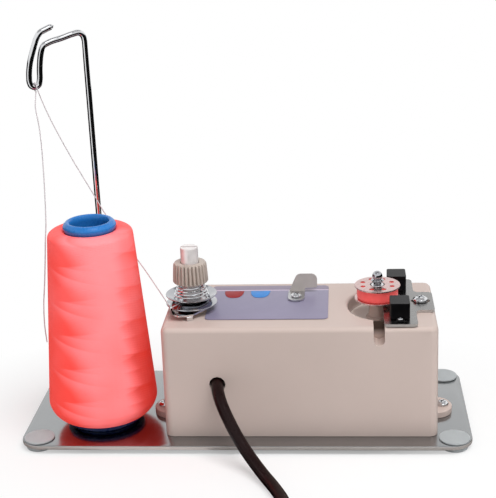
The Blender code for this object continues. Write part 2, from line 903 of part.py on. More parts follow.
def dish_walls():
    """The solid cup round the dish, the slot's walls and the posts beside them."""
    cup_rings = [dish_ring(dish_wall, dish_bottom - dish_floor), dish_ring(dish_wall, roof_under + weld)]
    half = slot_width / 2 + slot_wall
    walls = [
        finish_mesh("dish_cup", loft_mesh(cup_rings), None),
        block(
            "slot_box",
            (spindle_x - half, case_front + case_wall - weld, case_top - slot_depth - slot_wall),
            (spindle_x + half, slot_inner_y + slot_wall, roof_under + weld),
            None,
        ),
    ]
    for i, (x, y) in enumerate(bracket_screw_places()):
        pillar = rod_profile(pillar_radius, bracket_top + seat_gap, roof_under + weld)
        walls.append(lathe(f"bracket_pillar_{i}", pillar, None, (x, y, 0), small_steps))
    boss = rod_profile(t_boss_radius, case_top - t_boss_depth, roof_under + weld)
    walls.append(lathe("sensor_boss", boss, None, (spindle_x + t_slot_x, spindle_y, 0), small_steps))
    return walls


def panel_posts():
    """Two posts that hold the key board, each with a thin end through the board."""
    board_top = panel_levels()[2]
    profile = [
        (0, board_top - panel_board_thickness),
        (panel_post_pin_radius, board_top - panel_board_thickness),
        (panel_post_pin_radius, board_top + seat_gap),
        (panel_post_radius, board_top + seat_gap),
        (panel_post_radius, roof_under + weld),
        (0, roof_under + weld),
    ]
    places = enumerate(panel_post_places())
    return [lathe(f"panel_post_{i}", profile, None, (x, y, 0), small_steps) for i, (x, y) in places]


def board_ribs():
    """Pairs of ribs on the front and rear walls that hold the control board upright."""
    gap = board_thickness / 2 + fit_gap
    inner_front = case_front + case_wall
    inner_back = case_back - case_wall
    walls = (
        ("front", inner_front - weld, inner_front + rib_depth),
        ("back", inner_back - rib_depth, inner_back + weld),
    )
    ribs = []
    for wall, y0, y1 in walls:
        for side in (-1, 1):
            x0, x1 = sorted((board_x + side * gap, board_x + side * (gap + rib_width)))
            low, high = (x0, y0, plate_top + rib_low), (x1, y1, plate_top + board_high)
            ribs.append(block(f"rib_{wall}_{side + 1}", low, high, None))
    return ribs


def key_hole(name, x):
    """A key's shallow pocket and the narrower hole for its stem, as one cutter."""
    pocket = case_top - key_pocket_depth
    stem = key_stem_radius + fit_gap
    wide = key_radius + fit_gap
    profile = [
        (0, roof_under - overrun),
        (stem, roof_under - overrun),
        (stem, pocket),
        (wide, pocket),
        (wide, case_top + overrun),
        (0, case_top + overrun),
    ]
    return lathe(name + "_key_hole", profile, None, (x, key_y, 0), small_steps)


def case_holes():
    high = case_top + overrun
    low = roof_under - overrun
    boss_foot = case_top - t_boss_depth
    sensor_shank = t_shank_radius + run_gap
    tools = [
        dish_cutter(),
        slot_cutter(),
        hole("hub_hole", spindle_x, spindle_y, dish_hole_radius, dish_bottom - dish_floor - overrun, high),
        hole("stud_hole", tension_x, tension_y, stud_radius + fit_gap, low, high),
        hole("sensor_screw_hole", spindle_x + t_slot_x, spindle_y, sensor_shank, boss_foot + weld, high),
        hole("cutter_screw_hole", cutter_x, cutter_screw_y, cutter_shank_radius + fit_gap, low, high),
        key_hole("stop", stop_key_x),
        key_hole("start", start_key_x),
    ]
    for i, (x, y) in enumerate(bracket_screw_places()):
        top = bracket_top + pillar_hole_depth
        tools.append(hole(f"pillar_hole_{i}", x, y, pillar_hole_radius, bracket_top - overrun, top))
    for side, (x, y) in ear_screw_places().items():
        radius = ear_shank_radius + fit_gap
        tools.append(hole("ear_hole_" + side, x, y, radius, case_foot - overrun, ear_top + overrun))
    for name, (x, y) in lead_places().items():
        wide = block_lead_radius + t_travel + fit_gap
        deep = block_lead_radius + fit_gap
        outline = rounded_rectangle(wide, deep, deep * slot_end_share)
        tools.append(prism(name + "_lead_hole", outline, low - overrun, high, None, (x, y, 0)))
    cord_hole = lathe("lead_hole", rod_profile(lead_hole_radius, -overrun, overrun), None, steps=small_steps)
    cord_hole.location = (lead_x, case_front + case_wall / 2, lead_z)
    cord_hole.rotation_euler = (math.pi / 2, 0, 0)
    return [*tools, cord_hole]


def make_panel(mats):
    """The label, the two keys that press through it and the board with their switches."""
    outline = rounded_rectangle(label_width / 2, label_depth / 2, label_corner)
    middle = (label_left + label_width / 2, label_front + label_depth / 2, 0)
    label = prism("label_plate", outline, case_top + seat_gap, label_top, mats["label"], middle)
    low, high = case_top - overrun, case_top + overrun
    stem_end, switch_top, board_top = panel_levels()
    holes = [hole("label_cutter_hole", cutter_x, cutter_screw_y, cutter_shank_radius + fit_gap, low, high)]
    middle_x = (stop_key_x + start_key_x) / 2
    half_x, half_y = panel_board_length / 2, panel_board_depth / 2
    board = block(
        "key_board",
        (middle_x - half_x, key_y - half_y, board_top - panel_board_thickness),
        (middle_x + half_x, key_y + half_y, board_top),
        mats["board"],
    )
    for name, x, colour in (("stop", stop_key_x, "red"), ("start", start_key_x, "blue")):
        holes.append(hole(f"label_{name}_hole", x, key_y, key_radius + fit_gap, low, high))
        cap_low = case_top - key_sink
        collar_top = roof_under - fit_gap
        profile = [
            (0, stem_end),
            (key_stem_radius, stem_end),
            (key_stem_radius, collar_top - key_collar_height),
            (key_collar_radius, collar_top - key_collar_height),
            (key_collar_radius, collar_top),
            (key_stem_radius, collar_top),
            (key_stem_radius, cap_low),
            (key_radius, cap_low),
            (key_radius, case_top + key_rise - key_sink),
            (key_radius - key_sink, case_top + key_rise),
            (0, case_top + key_rise),
        ]
        lathe(name + "_button", profile, mats[colour], (x, key_y, 0))
        half = panel_switch_width / 2
        body = block(
            name + "_switch_body",
            (x - half, key_y - half, board_top - weld),
            (x + half, key_y + half, switch_top),
            None,
        )
        join(board, body)
        plunger = rod_profile(panel_plunger_radius, switch_top - weld, switch_top + panel_plunger_height)
        join(board, lathe(name + "_plunger", plunger, None, (x, key_y, 0), small_steps))
    for tool in holes:
        cut(label, tool)
    for i, (x, y) in enumerate(panel_post_places()):
        radius = panel_post_pin_radius + fit_gap
        cut(board, hole(f"key_board_hole_{i}", x, y, radius, board_top - overrun, board_top + overrun))


def make_cutter(mats):
    """The bent thread cutter and its screw."""
    low = label_top + seat_gap
    left, right = cutter_x - cutter_half, cutter_x + cutter_half
    radius = cutter_half * 0.95
    outline = rounded_outline(
        ((left, cutter_front, radius), (right, cutter_front, radius), (right, cutter_back, 0), (left, cutter_back, 0))
    )
    cutter = prism("thread_cutter", outline, low, low + cutter_thickness, mats["chrome"])
    reach = left + cutter_flag_shift
    flag_outline = rounded_outline(
        (
            (left, 0, 0),
            (right, 0, 0),
            (right, cutter_flag_low, cutter_thickness),
            (left + cutter_flag_reach + cutter_half, cutter_flag_low, cutter_thickness),
            (left + cutter_flag_reach + cutter_half, cutter_flag_high, cutter_flag_round),
            (reach + cutter_half * 0.8, cutter_flag_high, cutter_flag_round),
            (reach, cutter_flag_low, cutter_flag_round),
        )
    )
    sheet = cutter_thickness
    rings = [[(x, y, z) for x, z in flag_outline] for y in (0, sheet)]
    flag = finish_mesh("cutter_flag", loft_mesh(rings), None)
    flag.location = (0, cutter_back - sheet, low)
    flag.rotation_euler = (math.radians(-cutter_lean_deg), 0, 0)
    join(cutter, flag)
    shank_hole = cutter_shank_radius + fit_gap
    cut(cutter, hole("cutter_hole", cutter_x, cutter_screw_y, shank_hole, low - overrun, low + overrun))
    seat = low + cutter_thickness + seat_gap
    profile = screw_profile(
        cutter_head_radius, cutter_head_height, cutter_shank_radius, seat - cutter_shank_length, seat
    )
    lathe("cutter_screw", profile, mats["chrome"], (cutter_x, cutter_screw_y, 0), small_steps)


def tension_point(reach, degrees, height=0):
    a = math.radians(degrees)
    return Vector((tension_x + reach * math.cos(a), tension_y + reach * math.sin(a), height))


def strip(name, stations, thickness, start, degrees):
    """A flat bent strip from a start point; stations are (reach, height, half width)."""
    rings = []
    for i, (x, z, half) in enumerate(stations):
        back = Vector(stations[max(i - 1, 0)][:2])
        ahead = Vector(stations[min(i + 1, len(stations) - 1)][:2])
        along = (ahead - back).normalized()
        side = Vector((-along.y, along.x)) * thickness / 2
        section = [(-half, -1), (half, -1), (half, 1), (-half, 1)]
        rings.append([(x + side.x * s, y, z + side.y * s) for y, s in section])
    piece = finish_mesh(name, loft_mesh(rings), None)
    piece.location = start
    piece.rotation_euler = (0, 0, math.radians(degrees))
    return piece


def guide_place(share_x, share_y):
    """A point of the guide's plate, in shares of its reach from the stud."""
    return Vector((tension_x + share_x * guide_reach, tension_y + share_y * guide_reach, 0))


def ear_direction():
    a = math.radians(guide_ear_deg)
    return Vector((math.cos(a), math.sin(a), 0))


def ear_normal():
    """The way the upturned ear's outer face looks."""
    lean = math.radians(guide_ear_lean_deg)
    return ear_direction() * math.cos(lean) - Vector((0, 0, math.sin(lean)))


def eye_point():
    """The middle of the hole in the guide's upturned ear."""
    lean = math.radians(guide_ear_lean_deg)
    reach = guide_ear_reach + guide_eye_rise * math.sin(lean)
    spot = guide_place(*guide_ear_start_shares) + ear_direction() * reach
    spot.z = (guide_bottom + guide_top) / 2 + guide_eye_rise * math.cos(lean)
    return spot


def make_guide(mats):
    """The pressed thread guide: a plate with a bent foot and an upturned ear with an eye."""
    outline = rounded_outline([[share * guide_reach for share in corner] for corner in guide_plate_shares])
    at = (tension_x, tension_y, 0)
    guide = prism("thread_guide", outline, guide_bottom, guide_top, mats["chrome"], at)
    middle = (guide_bottom + guide_top) / 2
    lean = math.radians(guide_ear_lean_deg)
    half = guide_ear_half
    stations = [(0, middle, half), (guide_ear_reach - guide_bend, middle, half)]
    for rise, share in guide_ear_shares:
        up = guide_ear_height * rise
        stations.append((guide_ear_reach + up * math.sin(lean), middle + up * math.cos(lean), half * share))
    start = guide_place(*guide_ear_start_shares)
    join(guide, strip("guide_ear", stations, guide_strip, start, guide_ear_deg))
    half = guide_foot_half
    stations = [
        (0, middle, half),
        (guide_foot_reach - guide_bend, middle, half),
        (guide_foot_reach, middle - guide_bend, half),
        (guide_foot_reach, case_top + seat_gap, half),
    ]
    start = guide_place(*guide_foot_start_shares)
    join(guide, strip("guide_foot", stations, guide_foot_strip, start, guide_foot_deg))
    low, high = guide_bottom - overrun, guide_top + overrun
    cut(guide, hole("guide_bore", tension_x, tension_y, stud_radius + fit_gap, low, high, round_steps))
    eye = lathe("guide_eye", rod_profile(guide_eye_radius, -guide_bend, guide_bend), None, steps=small_steps)
    eye.location = eye_point()
    eye.rotation_euler = (0, math.pi / 2 + lean, math.radians(guide_ear_deg))
    cut(guide, eye)


def disc_profile(flat, turn_up):
    """A pressed disc: flat in the middle, its rim curling up or down."""
    rise = disc_dish if turn_up else -disc_dish
    shares = ((0.45, 0.14), (0.8, 0.5), (1.0, 1.0))
    low, high = [], []
    for across, up in shares:
        radius = disc_flat_radius + (disc_radius - disc_flat_radius) * across
        low.append((radius, flat + rise * up))
        high.append((radius, flat + rise * up + disc_sheet))
    bore = stud_radius + fit_gap
    inner = [(bore, flat), (disc_flat_radius, flat)]
    return inner + low + high[::-1] + [(disc_flat_radius, flat + disc_sheet), (bore, flat + disc_sheet)]


def spring_points():
    count = int(spring_turns * spring_points_per_turn)
    points = []
    for i in range(count + 1):
        share = i / count
        a = 2 * math.pi * spring_turns * share
        radius = spring_low_radius + (spring_high_radius - spring_low_radius) * share
        centre = Vector((tension_x, tension_y, spring_foot + spring_height * share))
        points.append(centre + Vector((radius * math.cos(a), radius * math.sin(a), 0)))
    return points


def least_gap(points, radius, skip):
    """The least space between a round tube's surface and itself, turns away."""
    best = math.inf
    for i, one in enumerate(points):
        for two in points[i + skip :]:
            best = min(best, (one - two).length)
    return best - 2 * radius


def knurled_nut(mats):
    """The ribbed nut: each rib is one wave of its outline."""
    steps = nut_ribs * 4
    outline = []
    for i in range(steps):
        a = 2 * math.pi * i / steps
        outline.append((a, (0, 0.55, 1, 0.55)[i % 4]))

    def ring(radius, height, depth):
        return [
            ((radius - depth * wave) * math.cos(a), (radius - depth * wave) * math.sin(a), height)
            for a, wave in outline
        ]

    top = nut_foot + nut_height
    rings = [
        ring(nut_low_radius - nut_rib_depth, nut_foot, 0),
        ring(nut_low_radius, nut_foot + nut_rib_depth, nut_rib_depth),
        ring(nut_high_radius, top - nut_round, nut_rib_depth),
        ring(nut_high_radius - nut_round, top, 0),
    ]
    nut = finish_mesh("tension_nut", loft_mesh(rings), mats["beige"], (tension_x, tension_y, 0))
    bore = stud_radius + fit_gap
    cut(nut, hole("nut_bore", tension_x, tension_y, bore, nut_foot - overrun, top + overrun, round_steps))


def make_tension(mats):
    """Everything on the tension stud, from the bush on the roof to the nut."""
    at = (tension_x, tension_y, 0)
    bore = stud_radius + fit_gap
    stud = lathe(
        "tension_stud", rod_profile(stud_radius, stud_foot, stud_top, high_chamfer=stud_chamfer), mats["steel"], at
    )
    half = stud_radius + overrun
    slot = block(
        "stud_slot",
        (tension_x - half, tension_y - stud_slot_width / 2, stud_top - stud_slot_depth),
        (tension_x + half, tension_y + stud_slot_width / 2, stud_top + overrun),
        None,
    )
    cut(stud, slot)
    nut_top = roof_under - seat_gap
    hex_nut("stud_nut", stud_nut_half, bore, nut_top - stud_nut_height, nut_top, mats["steel"], at)
    lathe("tension_bush", ring_profile(bore, bush_radius, bush_foot, bush_foot + bush_height), mats["beige"], at)
    make_guide(mats)
    spacer = ring_profile(bore, spacer_radius, spacer_foot, spacer_foot + spacer_height)
    lathe("tension_spacer", spacer, mats["black"], at)
    lathe("lower_disc", disc_profile(low_disc_flat, False), mats["chrome"], at)
    lathe("upper_disc", disc_profile(high_disc_flat, True), mats["chrome"], at)
    points = spring_points()
    tube("tension_spring", points, spring_wire_radius, mats["chrome"], 1)
    gap = least_gap(points, spring_wire_radius, spring_points_per_turn // 2)
    print(f"tension spring: least gap to itself {gap / mm:.2f} mm")
    washer = ring_profile(bore, washer_radius, washer_foot, washer_foot + washer_thickness)
    lathe("spring_washer", washer, mats["chrome"], at)
    knurled_nut(mats)


def stand_point(reach, height):
    a = math.radians(stand_turn_deg)
    return Vector((stand_x - reach * math.sin(a), stand_y - reach * math.cos(a), plate_top + height))


def make_stand(mats):
    """The bent wire that carries the thread over the cone, and its two nuts."""
    foot = stand_point(0, -stand_foot_drop)
    bends = smooth_route([stand_point(r, h) for r, h in stand_route], stand_step)
    tube("thread_stand", [foot, *bends], wire_radius, mats["chrome"], 2)
    at = (stand_x, stand_y, 0)
    bore = wire_radius + fit_gap
    low = plate_top + seat_gap
    hex_nut("stand_nut_upper", stand_nut_half, bore, low, low + stand_nut_high, mats["steel"], at)
    high = plate_bottom - seat_gap
    hex_nut("stand_nut_lower", stand_nut_half, bore, high - stand_nut_low, high, mats["steel"], at)


def core_radius(height):
    return core_low_radius + (core_high_radius - core_low_radius) * height / core_height


def package_radius(height):
    share = (height - package_wide_z) / (package_high_z - package_wide_z)
    return package_wide_radius + (package_high_radius - package_wide_radius) * share


def make_cone(mats):
    """The thread cone, its blue core and the short post that it stands over."""
    at = (cone_x, cone_y, 0)
    foot = plate_top + seat_gap
    post = [
        (0, foot),
        (post_disc_radius, foot),
        (post_disc_radius, foot + post_disc_height),
        (post_radius, foot + post_disc_height),
        (post_radius, foot + post_height - post_round),
        (post_radius - post_round, foot + post_height),
        (0, foot + post_height),
    ]
    spool_post = lathe("spool_post", post, mats["black"], at)
    cut(spool_post, hole("post_hole", cone_x, cone_y, post_hole_radius, foot - overrun, foot + post_hole_depth))
    head = plate_bottom + seat_gap
    screw = [
        (0, head),
        (post_screw_head_radius, head),
        (post_screw_head_radius, head + post_screw_head_height),
        (post_screw_shank_radius, head + post_screw_head_height),
        (post_screw_shank_radius, foot + post_screw_reach),
        (0, foot + post_screw_reach),
    ]
    lathe("post_screw", screw, mats["steel"], at, small_steps)
    rim_low = core_height - core_rim_height
    core = [
        (core_low_bore, 0),
        (core_low_radius, 0),
        (core_radius(rim_low), rim_low),
        (core_rim_radius, rim_low + core_rim_height * 0.25),
        (core_rim_radius, core_height - core_rim_height * 0.3),
        (core_high_radius - core_rim_height * 0.1, core_height),
        (core_high_bore + core_rim_height * 0.25, core_height),
        (core_high_bore, core_height - core_rim_height * 0.25),
    ]
    lathe("cone_core", [(r, foot + z) for r, z in core], mats["core"], at, fine_steps)
    inner_top = package_high_z + package_top_rise
    package = [
        (core_radius(package_low) + fit_gap, package_low),
        (package_low_radius, package_low),
        (package_wide_radius - package_top_round * 0.9, package_wide_z * 0.62),
        (package_wide_radius, package_wide_z),
        (package_high_radius, package_high_z),
        (package_high_radius - package_top_round * 0.3, package_high_z + package_top_round * 0.75),
        (package_high_radius - package_top_round, package_high_z + package_top_round),
        (core_rim_radius + fit_gap, inner_top - weld),
        (core_radius(rim_low) + fit_gap, rim_low - fit_gap),
    ]
    lathe("thread_package", [(r, foot + z) for r, z in package], mats["thread"], at, fine_steps)


def round_loop(degrees):
    """A place on the thread's way round the wire in the bottom of its loop; 90 is on top."""
    a = math.radians(degrees)
    turn = math.radians(stand_turn_deg)
    across = Vector((math.cos(turn), -math.sin(turn), 0))
    middle = stand_point(*stand_route[stand_loop_index])
    return middle + (across * math.cos(a) + Vector((0, 0, math.sin(a)))) * thread_on_loop


def make_threads(mats):
    """The thread up from the cone to the wire loop, and down from it to the discs."""
    a = math.radians(thread_side_deg)
    rising = []
    for height, off in zip(thread_heights, thread_stand_off):
        reach = package_radius(height) + thread_clear + off
        rising.append((cone_x + reach * math.cos(a), cone_y + reach * math.sin(a), plate_top + height))
    rising += [(x, y, plate_top + z) for x, y, z in thread_up]
    wrap = [round_loop(degrees) for degrees in thread_wrap_degrees]
    split = (wrap[-1] - wrap[-2]).normalized() * fit_gap / 2
    low_part = smooth_route([*rising, wrap[0]], thread_step)
    tube("thread_to_loop", [*low_part, *wrap[1:-1], wrap[-1] - split], thread_radius, mats["thread"], 0)
    falling = [Vector((x, y, plate_top + z)) for x, y, z in thread_down]
    eye = eye_point()
    through = ear_normal() * guide_strip / 2
    toward_eye = math.degrees(math.atan2(eye.y - tension_y, eye.x - tension_x))
    level = high_disc_flat - disc_gap / 2
    nip = tension_point(disc_flat_radius + guide_bend, toward_eye, level)
    end = tension_point(disc_flat_radius * thread_end_share, toward_eye, level)
    high_part = smooth_route([round_loop(0), *falling, eye + through], thread_step)
    points = [wrap[-1] + split, round_loop(45), *high_part, eye - through, nip, end]
    tube("thread_to_discs", points, thread_radius, mats["thread"], 0)


def t_outline():
    left = t_left
    return rounded_outline(
        (
            (spindle_x + left, t_front, t_corner),
            (spindle_x + left + t_bar, t_front, t_corner),
            (spindle_x + left + t_bar, spindle_y - t_stem_half, t_inner_corner),
            (spindle_x + t_stem_end, spindle_y - t_stem_half, t_corner),
            (spindle_x + t_stem_end, spindle_y + t_stem_half, t_corner),
            (spindle_x + left + t_bar, spindle_y + t_stem_half, t_inner_corner),
            (spindle_x + left + t_bar, t_back, t_corner * 1.5),
            (spindle_x + left, t_back, t_corner),
        )
    )


def make_sensor(mats):
    """The slotted T plate with its two sensor blocks and their screws."""
    plate = prism("sensor_bracket", t_outline(), t_bottom, t_top, mats["chrome"])
    low, high = t_bottom - overrun, t_top + overrun
    cut(plate, hole("t_notch", spindle_x, spindle_y, t_notch_radius, low, high, fine_steps))
    slot = rounded_rectangle(t_slot_half + t_slot_radius, t_slot_radius, t_slot_radius * slot_end_share)
    cut(plate, prism("t_slot", slot, low, high, None, (spindle_x + t_slot_x, spindle_y, 0)))
    seat = t_top + seat_gap
    shank_end = case_top - t_boss_depth + 2 * weld
    profile = screw_profile(t_head_radius, t_head_height, t_shank_radius, shank_end, seat)
    lathe("bracket_screw", profile, mats["chrome"], (spindle_x + t_slot_x, spindle_y, 0), small_steps)
    x = spindle_x + block_x
    for name, (y, side) in sensor_places().items():
        lead_x_place, lead_y_place = lead_places()[name]
        cut(plate, hole(name + "_bracket_hole", lead_x_place, lead_y_place, block_lead_radius + fit_gap, low, high))
        outline = rounded_rectangle(block_width / 2, block_depth / 2, block_round)
        top = seat + block_height
        body = prism("sensor_" + name, outline, seat, top, mats["black"], (x, y, 0))
        face_y = y + side * block_depth / 2
        screw_y = face_y + side * block_tab_reach
        half = (block_tab_reach + block_tab_radius + weld) / 2
        tab_outline = rounded_rectangle(block_tab_radius, half, block_tab_radius * slot_end_share)
        tab_at = (x, face_y + side * (half - weld), 0)
        join(body, prism(name + "_tab", tab_outline, seat, seat + block_tab_thickness, None, tab_at))
        lead_top = seat + weld
        lead = hole(
            name + "_lead", lead_x_place, lead_y_place, block_lead_radius, lead_top - block_lead_length, lead_top
        )
        join(body, lead)
        window = lathe(
            name + "_window",
            rod_profile(block_window_radius, -block_window_depth, block_window_depth),
            None,
            steps=small_steps,
        )
        window.location = (x, y - side * block_depth / 2, seat + block_window_rise)
        window.rotation_euler = (math.pi / 2, 0, 0)
        cut(body, window)
        screw_seat = seat + block_tab_thickness + seat_gap
        shank = block_screw_shank_radius
        cut(body, hole(name + "_tab_hole", x, screw_y, shank + run_gap, seat - weld, screw_seat + weld))
        cut(plate, hole(name + "_screw_hole", x, screw_y, shank + run_gap, low, high))
        small = screw_profile(block_screw_head_radius, block_screw_head_height, shank, t_bottom, screw_seat)
        lathe(name + "_screw", small, mats["chrome"], (x, screw_y, 0), small_steps)


def make_motor(mats):
    """The motor under the dish, its bracket, and the spindle that it turns."""
    at = (spindle_x, spindle_y, 0)
    inner_right = case_right - case_wall - bracket_margin
    x0, x1 = spindle_x - bracket_left_reach, inner_right
    half_y = bracket_half_y
    outline = rounded_rectangle((x1 - x0) / 2, half_y, bracket_corner)
    bracket_low = bracket_top - bracket_thickness
    bracket = prism(
        "motor_bracket", outline, bracket_low, bracket_top, mats["steel"], ((x0 + x1) / 2, spindle_y, 0)
    )
    low, high = bracket_low - overrun, bracket_top + overrun
    cut(bracket, hole("bracket_bore", spindle_x, spindle_y, bracket_hole_radius, low, high))
    for i, (x, y) in enumerate(bracket_screw_places()):
        radius = bracket_screw_shank_radius + fit_gap
        cut(bracket, hole(f"bracket_hole_{i}", x, y, radius, low, high))
        seat = bracket_low - seat_gap
        upright = screw_profile(
            bracket_screw_head_radius,
            bracket_screw_head_height,
            bracket_screw_shank_radius,
            -bracket_thickness - bracket_screw_reach,
            0,
        )
        screw = lathe(f"motor_screw_{i + 1}", upright, mats["steel"], (x, y, seat), small_steps)
        screw.rotation_euler = (math.pi, 0, 0)
    boss_bore = bearing_radius + run_gap
    can = [
        (boss_bore, can_top - can_wall),
        (can_radius - can_wall, can_top - can_wall),
        (can_radius - can_wall, can_foot + can_wall),
        (can_vent_radius, can_foot + can_wall),
        (can_vent_radius, can_foot),
        (can_radius - can_round, can_foot),
        (can_radius, can_foot + can_round),
        (can_radius, can_top - can_round),
        (can_radius - can_round, can_top),
        (can_boss_radius, can_top),
        (can_boss_radius, bracket_top),
        (boss_bore, bracket_top),
    ]
    lathe("motor_can", can, mats["steel"], at)
    bearing_high = bracket_top
    bearing = ring_profile(shaft_radius + run_gap, bearing_radius, bearing_high - bearing_length, bearing_high)
    lathe("motor_bearing", bearing, mats["steel"], at, small_steps)
    rotor_foot = can_foot + can_wall + rotor_foot_rise
    rotor = ring_profile(shaft_radius + run_gap / 2, rotor_radius, rotor_foot, rotor_foot + rotor_height)
    lathe("motor_rotor", rotor, mats["copper"], at)
    seat_low = bobbin_floor - seat_thickness
    pin_top = bobbin_floor + pin_length
    spindle = [
        (0, shaft_foot),
        (shaft_radius, shaft_foot),
        (shaft_radius, hub_foot),
        (hub_radius, hub_foot),
        (hub_radius, seat_low),
        (seat_radius, seat_low),
        (seat_radius, bobbin_floor),
        (pin_radius, bobbin_floor),
        (pin_radius, pin_top - pin_chamfer),
        (pin_radius - pin_chamfer, pin_top),
        (0, pin_top),
    ]
    lathe("spindle", spindle, mats["chrome"], at)
    clip_low = pin_top + seat_gap
    ball_middle = clip_low + clip_neck_rise + clip_ball_radius * 0.5
    clip = [
        (0, clip_low),
        (clip_stem_radius, clip_low),
        (clip_stem_radius, clip_low + clip_bulge_rise / 2),
        (clip_bulge_radius, clip_low + clip_bulge_rise),
        (clip_neck_radius, clip_low + clip_neck_rise),
    ]
    for i in range(1, 7):
        a = math.radians(-50 + 140 * i / 6)
        if i < 6:
            clip.append((clip_ball_radius * math.cos(a), ball_middle + clip_ball_radius * math.sin(a)))
    clip.append((0, ball_middle + clip_ball_radius))
    tip = lathe("spindle_clip", clip, mats["chrome"], at, small_steps)
    for turn in (45, 135):
        slit = block(
            f"clip_slit_{turn}",
            (-clip_bulge_radius - weld, -clip_slit / 2, clip_low + weld),
            (clip_bulge_radius + weld, clip_slit / 2, clip_low + clip_slit_depth * 0.7),
            None,
        )
        slit.location = at
        slit.rotation_euler = (0, 0, math.radians(turn))
        cut(tip, slit)


def make_bobbin(mats):
    """A metal bobbin with its ring of holes, and the thread on it."""
    at = (spindle_x, spindle_y, 0)
    low, high = bobbin_bottom, bobbin_bottom + bobbin_height
    profile = [
        (bobbin_bore_radius, low),
        (bobbin_radius, low),
        (bobbin_radius, low + bobbin_flange),
        (bobbin_hub_radius, low + bobbin_flange),
        (bobbin_hub_radius, high - bobbin_flange),
        (bobbin_radius, high - bobbin_flange),
        (bobbin_radius, high),
        (bobbin_bore_radius, high),
    ]
    bobbin = lathe("bobbin", profile, mats["steel"], at, fine_steps)
    for i in range(bobbin_hole_count):
        a = 2 * math.pi * (i + 0.5) / bobbin_hole_count
        x = spindle_x + bobbin_hole_circle * math.cos(a)
        y = spindle_y + bobbin_hole_circle * math.sin(a)
        cut(bobbin, hole(f"bobbin_hole_{i}", x, y, bobbin_hole_radius, low - overrun, high + overrun, tiny_steps))
    inner = bobbin_hub_radius + fit_gap
    edge = bobbin_flange + seat_gap
    wound = ring_profile(inner, bobbin_thread_radius, low + edge, high - edge)
    lathe("bobbin_thread", wound, mats["thread"], at, fine_steps)


def make_electrics(mats):
    """The lead's clamp, the power block and the control board."""
    inside = case_front + case_wall + seat_gap
    outline = rounded_rectangle(clamp_width / 2, clamp_height / 2, clamp_round)
    rings = [[(lead_x + x, y, lead_z + z) for x, z in outline] for y in (inside, inside + clamp_depth)]
    clamp = finish_mesh("lead_clamp", loft_mesh(rings), mats["black"])
    bore = lathe(
        "clamp_bore", rod_profile(lead_radius + fit_gap, -clamp_depth, clamp_depth), None, steps=small_steps
    )
    bore.location = (lead_x, inside + clamp_depth / 2, lead_z)
    bore.rotation_euler = (math.pi / 2, 0, 0)
    cut(clamp, bore)
    low = plate_top + seat_gap
    half = power_width / 2
    power = block(
        "power_block",
        (lead_x - half, power_front, low),
        (lead_x + half, power_front + power_depth, low + power_height * power_core_share),
        mats["steel"],
    )
    neck = half * power_core_share
    join(
        power,
        block(
            "power_winding",
            (lead_x - neck, power_front, low + weld),
            (lead_x + neck, power_front + power_depth, low + power_height),
            None,
        ),
    )
    x0, x1 = board_x - board_thickness / 2, board_x + board_thickness / 2
    middle = case_mid_y
    board = block(
        "control_board",
        (x0, middle - board_half_y - rib_depth, plate_top + board_low),
        (x1, middle + board_half_y + rib_depth, plate_top + board_high),
        mats["board"],
    )
    part = block(
        "board_parts",
        (x0 - board_part_depth, middle - board_part_half, plate_top + board_low * 1.5),
        (x1 - board_thickness / 2, middle + board_part_half, plate_top + board_part_high),
        None,
    )
    join(board, part)


def coil_start():
    """The centre height of the lead in the coil's bottom layer."""
    return lead_radius + coil_rise


def coil_outer_radius():
    return coil_mean_radius + coil_pitch * coil_turns / 4


def coil_centre():
    return Vector((coil_lead_x - coil_outer_radius(), coil_centre_y, 0))


def coil_points():
    """In along the bottom layer, up in the half turn of the reversal, and out along the top."""
    count = int(coil_turns * coil_points_per_turn)
    half = coil_turns / 2
    centre = coil_centre()
    points = []
    for i in range(count + 1):
        turns = coil_turns * i / count
        radius = coil_outer_radius() - coil_pitch * (half - abs(half - turns))
        climb = min(1, max(0, (turns - half + 0.25) / 0.5))
        rise = climb * climb * (3 - 2 * climb)
        a = -2 * math.pi * turns
        spot = Vector((radius * math.cos(a), radius * math.sin(a), coil_start() + coil_pitch * rise))
        points.append(centre + spot)
    lead_in = points[0] + Vector((0, 2 * lead_radius, 0))
    lead_out = points[-1] - Vector((2 * lead_radius, 0, 0))
    return [lead_in, *points, lead_out]


def lead_points():
    outside = [Vector((x, y, plate_top + z)) for x, y, z in lead_route]
    wall = Vector((lead_x, case_front + case_wall * 2, lead_z))
    inner = Vector((lead_x, lead_inner_y, lead_z))
    meet = coil_points()[0]
    last = meet + Vector((0, fit_gap, 0))
    before = last + Vector((0, 2 * lead_radius, 0))
    return [*smooth_route([inner, wall, *outside, before], lead_sample), last]


def make_tie(mats):
    """A band round all the coil's turns."""
    width = coil_pitch * coil_turns / 4 + lead_radius + fit_gap
    height = coil_pitch / 2 + lead_radius + fit_gap
    inner = rounded_rectangle(width, height, lead_radius)
    outer = rounded_rectangle(width + tie_thickness, height + tie_thickness, lead_radius + tie_thickness)
    bm = bmesh.new()
    loops = []
    for outline, y in ((inner, -1), (outer, -1), (outer, 1), (inner, 1)):
        loops.append([bm.verts.new((x, y * tie_width / 2, z)) for x, z in outline])
    for one, two in zip(loops, loops[1:] + loops[:1]):
        for i in range(len(one)):
            j = (i + 1) % len(one)
            bm.faces.new((one[i], one[j], two[j], two[i]))
    tie = finish_mesh("lead_tie", bm, mats["black"])
    a = math.radians(tie_deg)
    spot = coil_centre() + coil_mean_radius * Vector((math.cos(a), math.sin(a), 0))
    tie.location = (spot.x, spot.y, coil_start() + coil_pitch / 2)
    tie.rotation_euler = (0, 0, a)


def plug_ring(along, half_width, half_height, radius):
    """One section of the plug, which points along -X."""
    outline = rounded_rectangle(half_width, half_height, min(radius, half_height * 0.98))
    return [(-along, y, z) for y, z in outline]


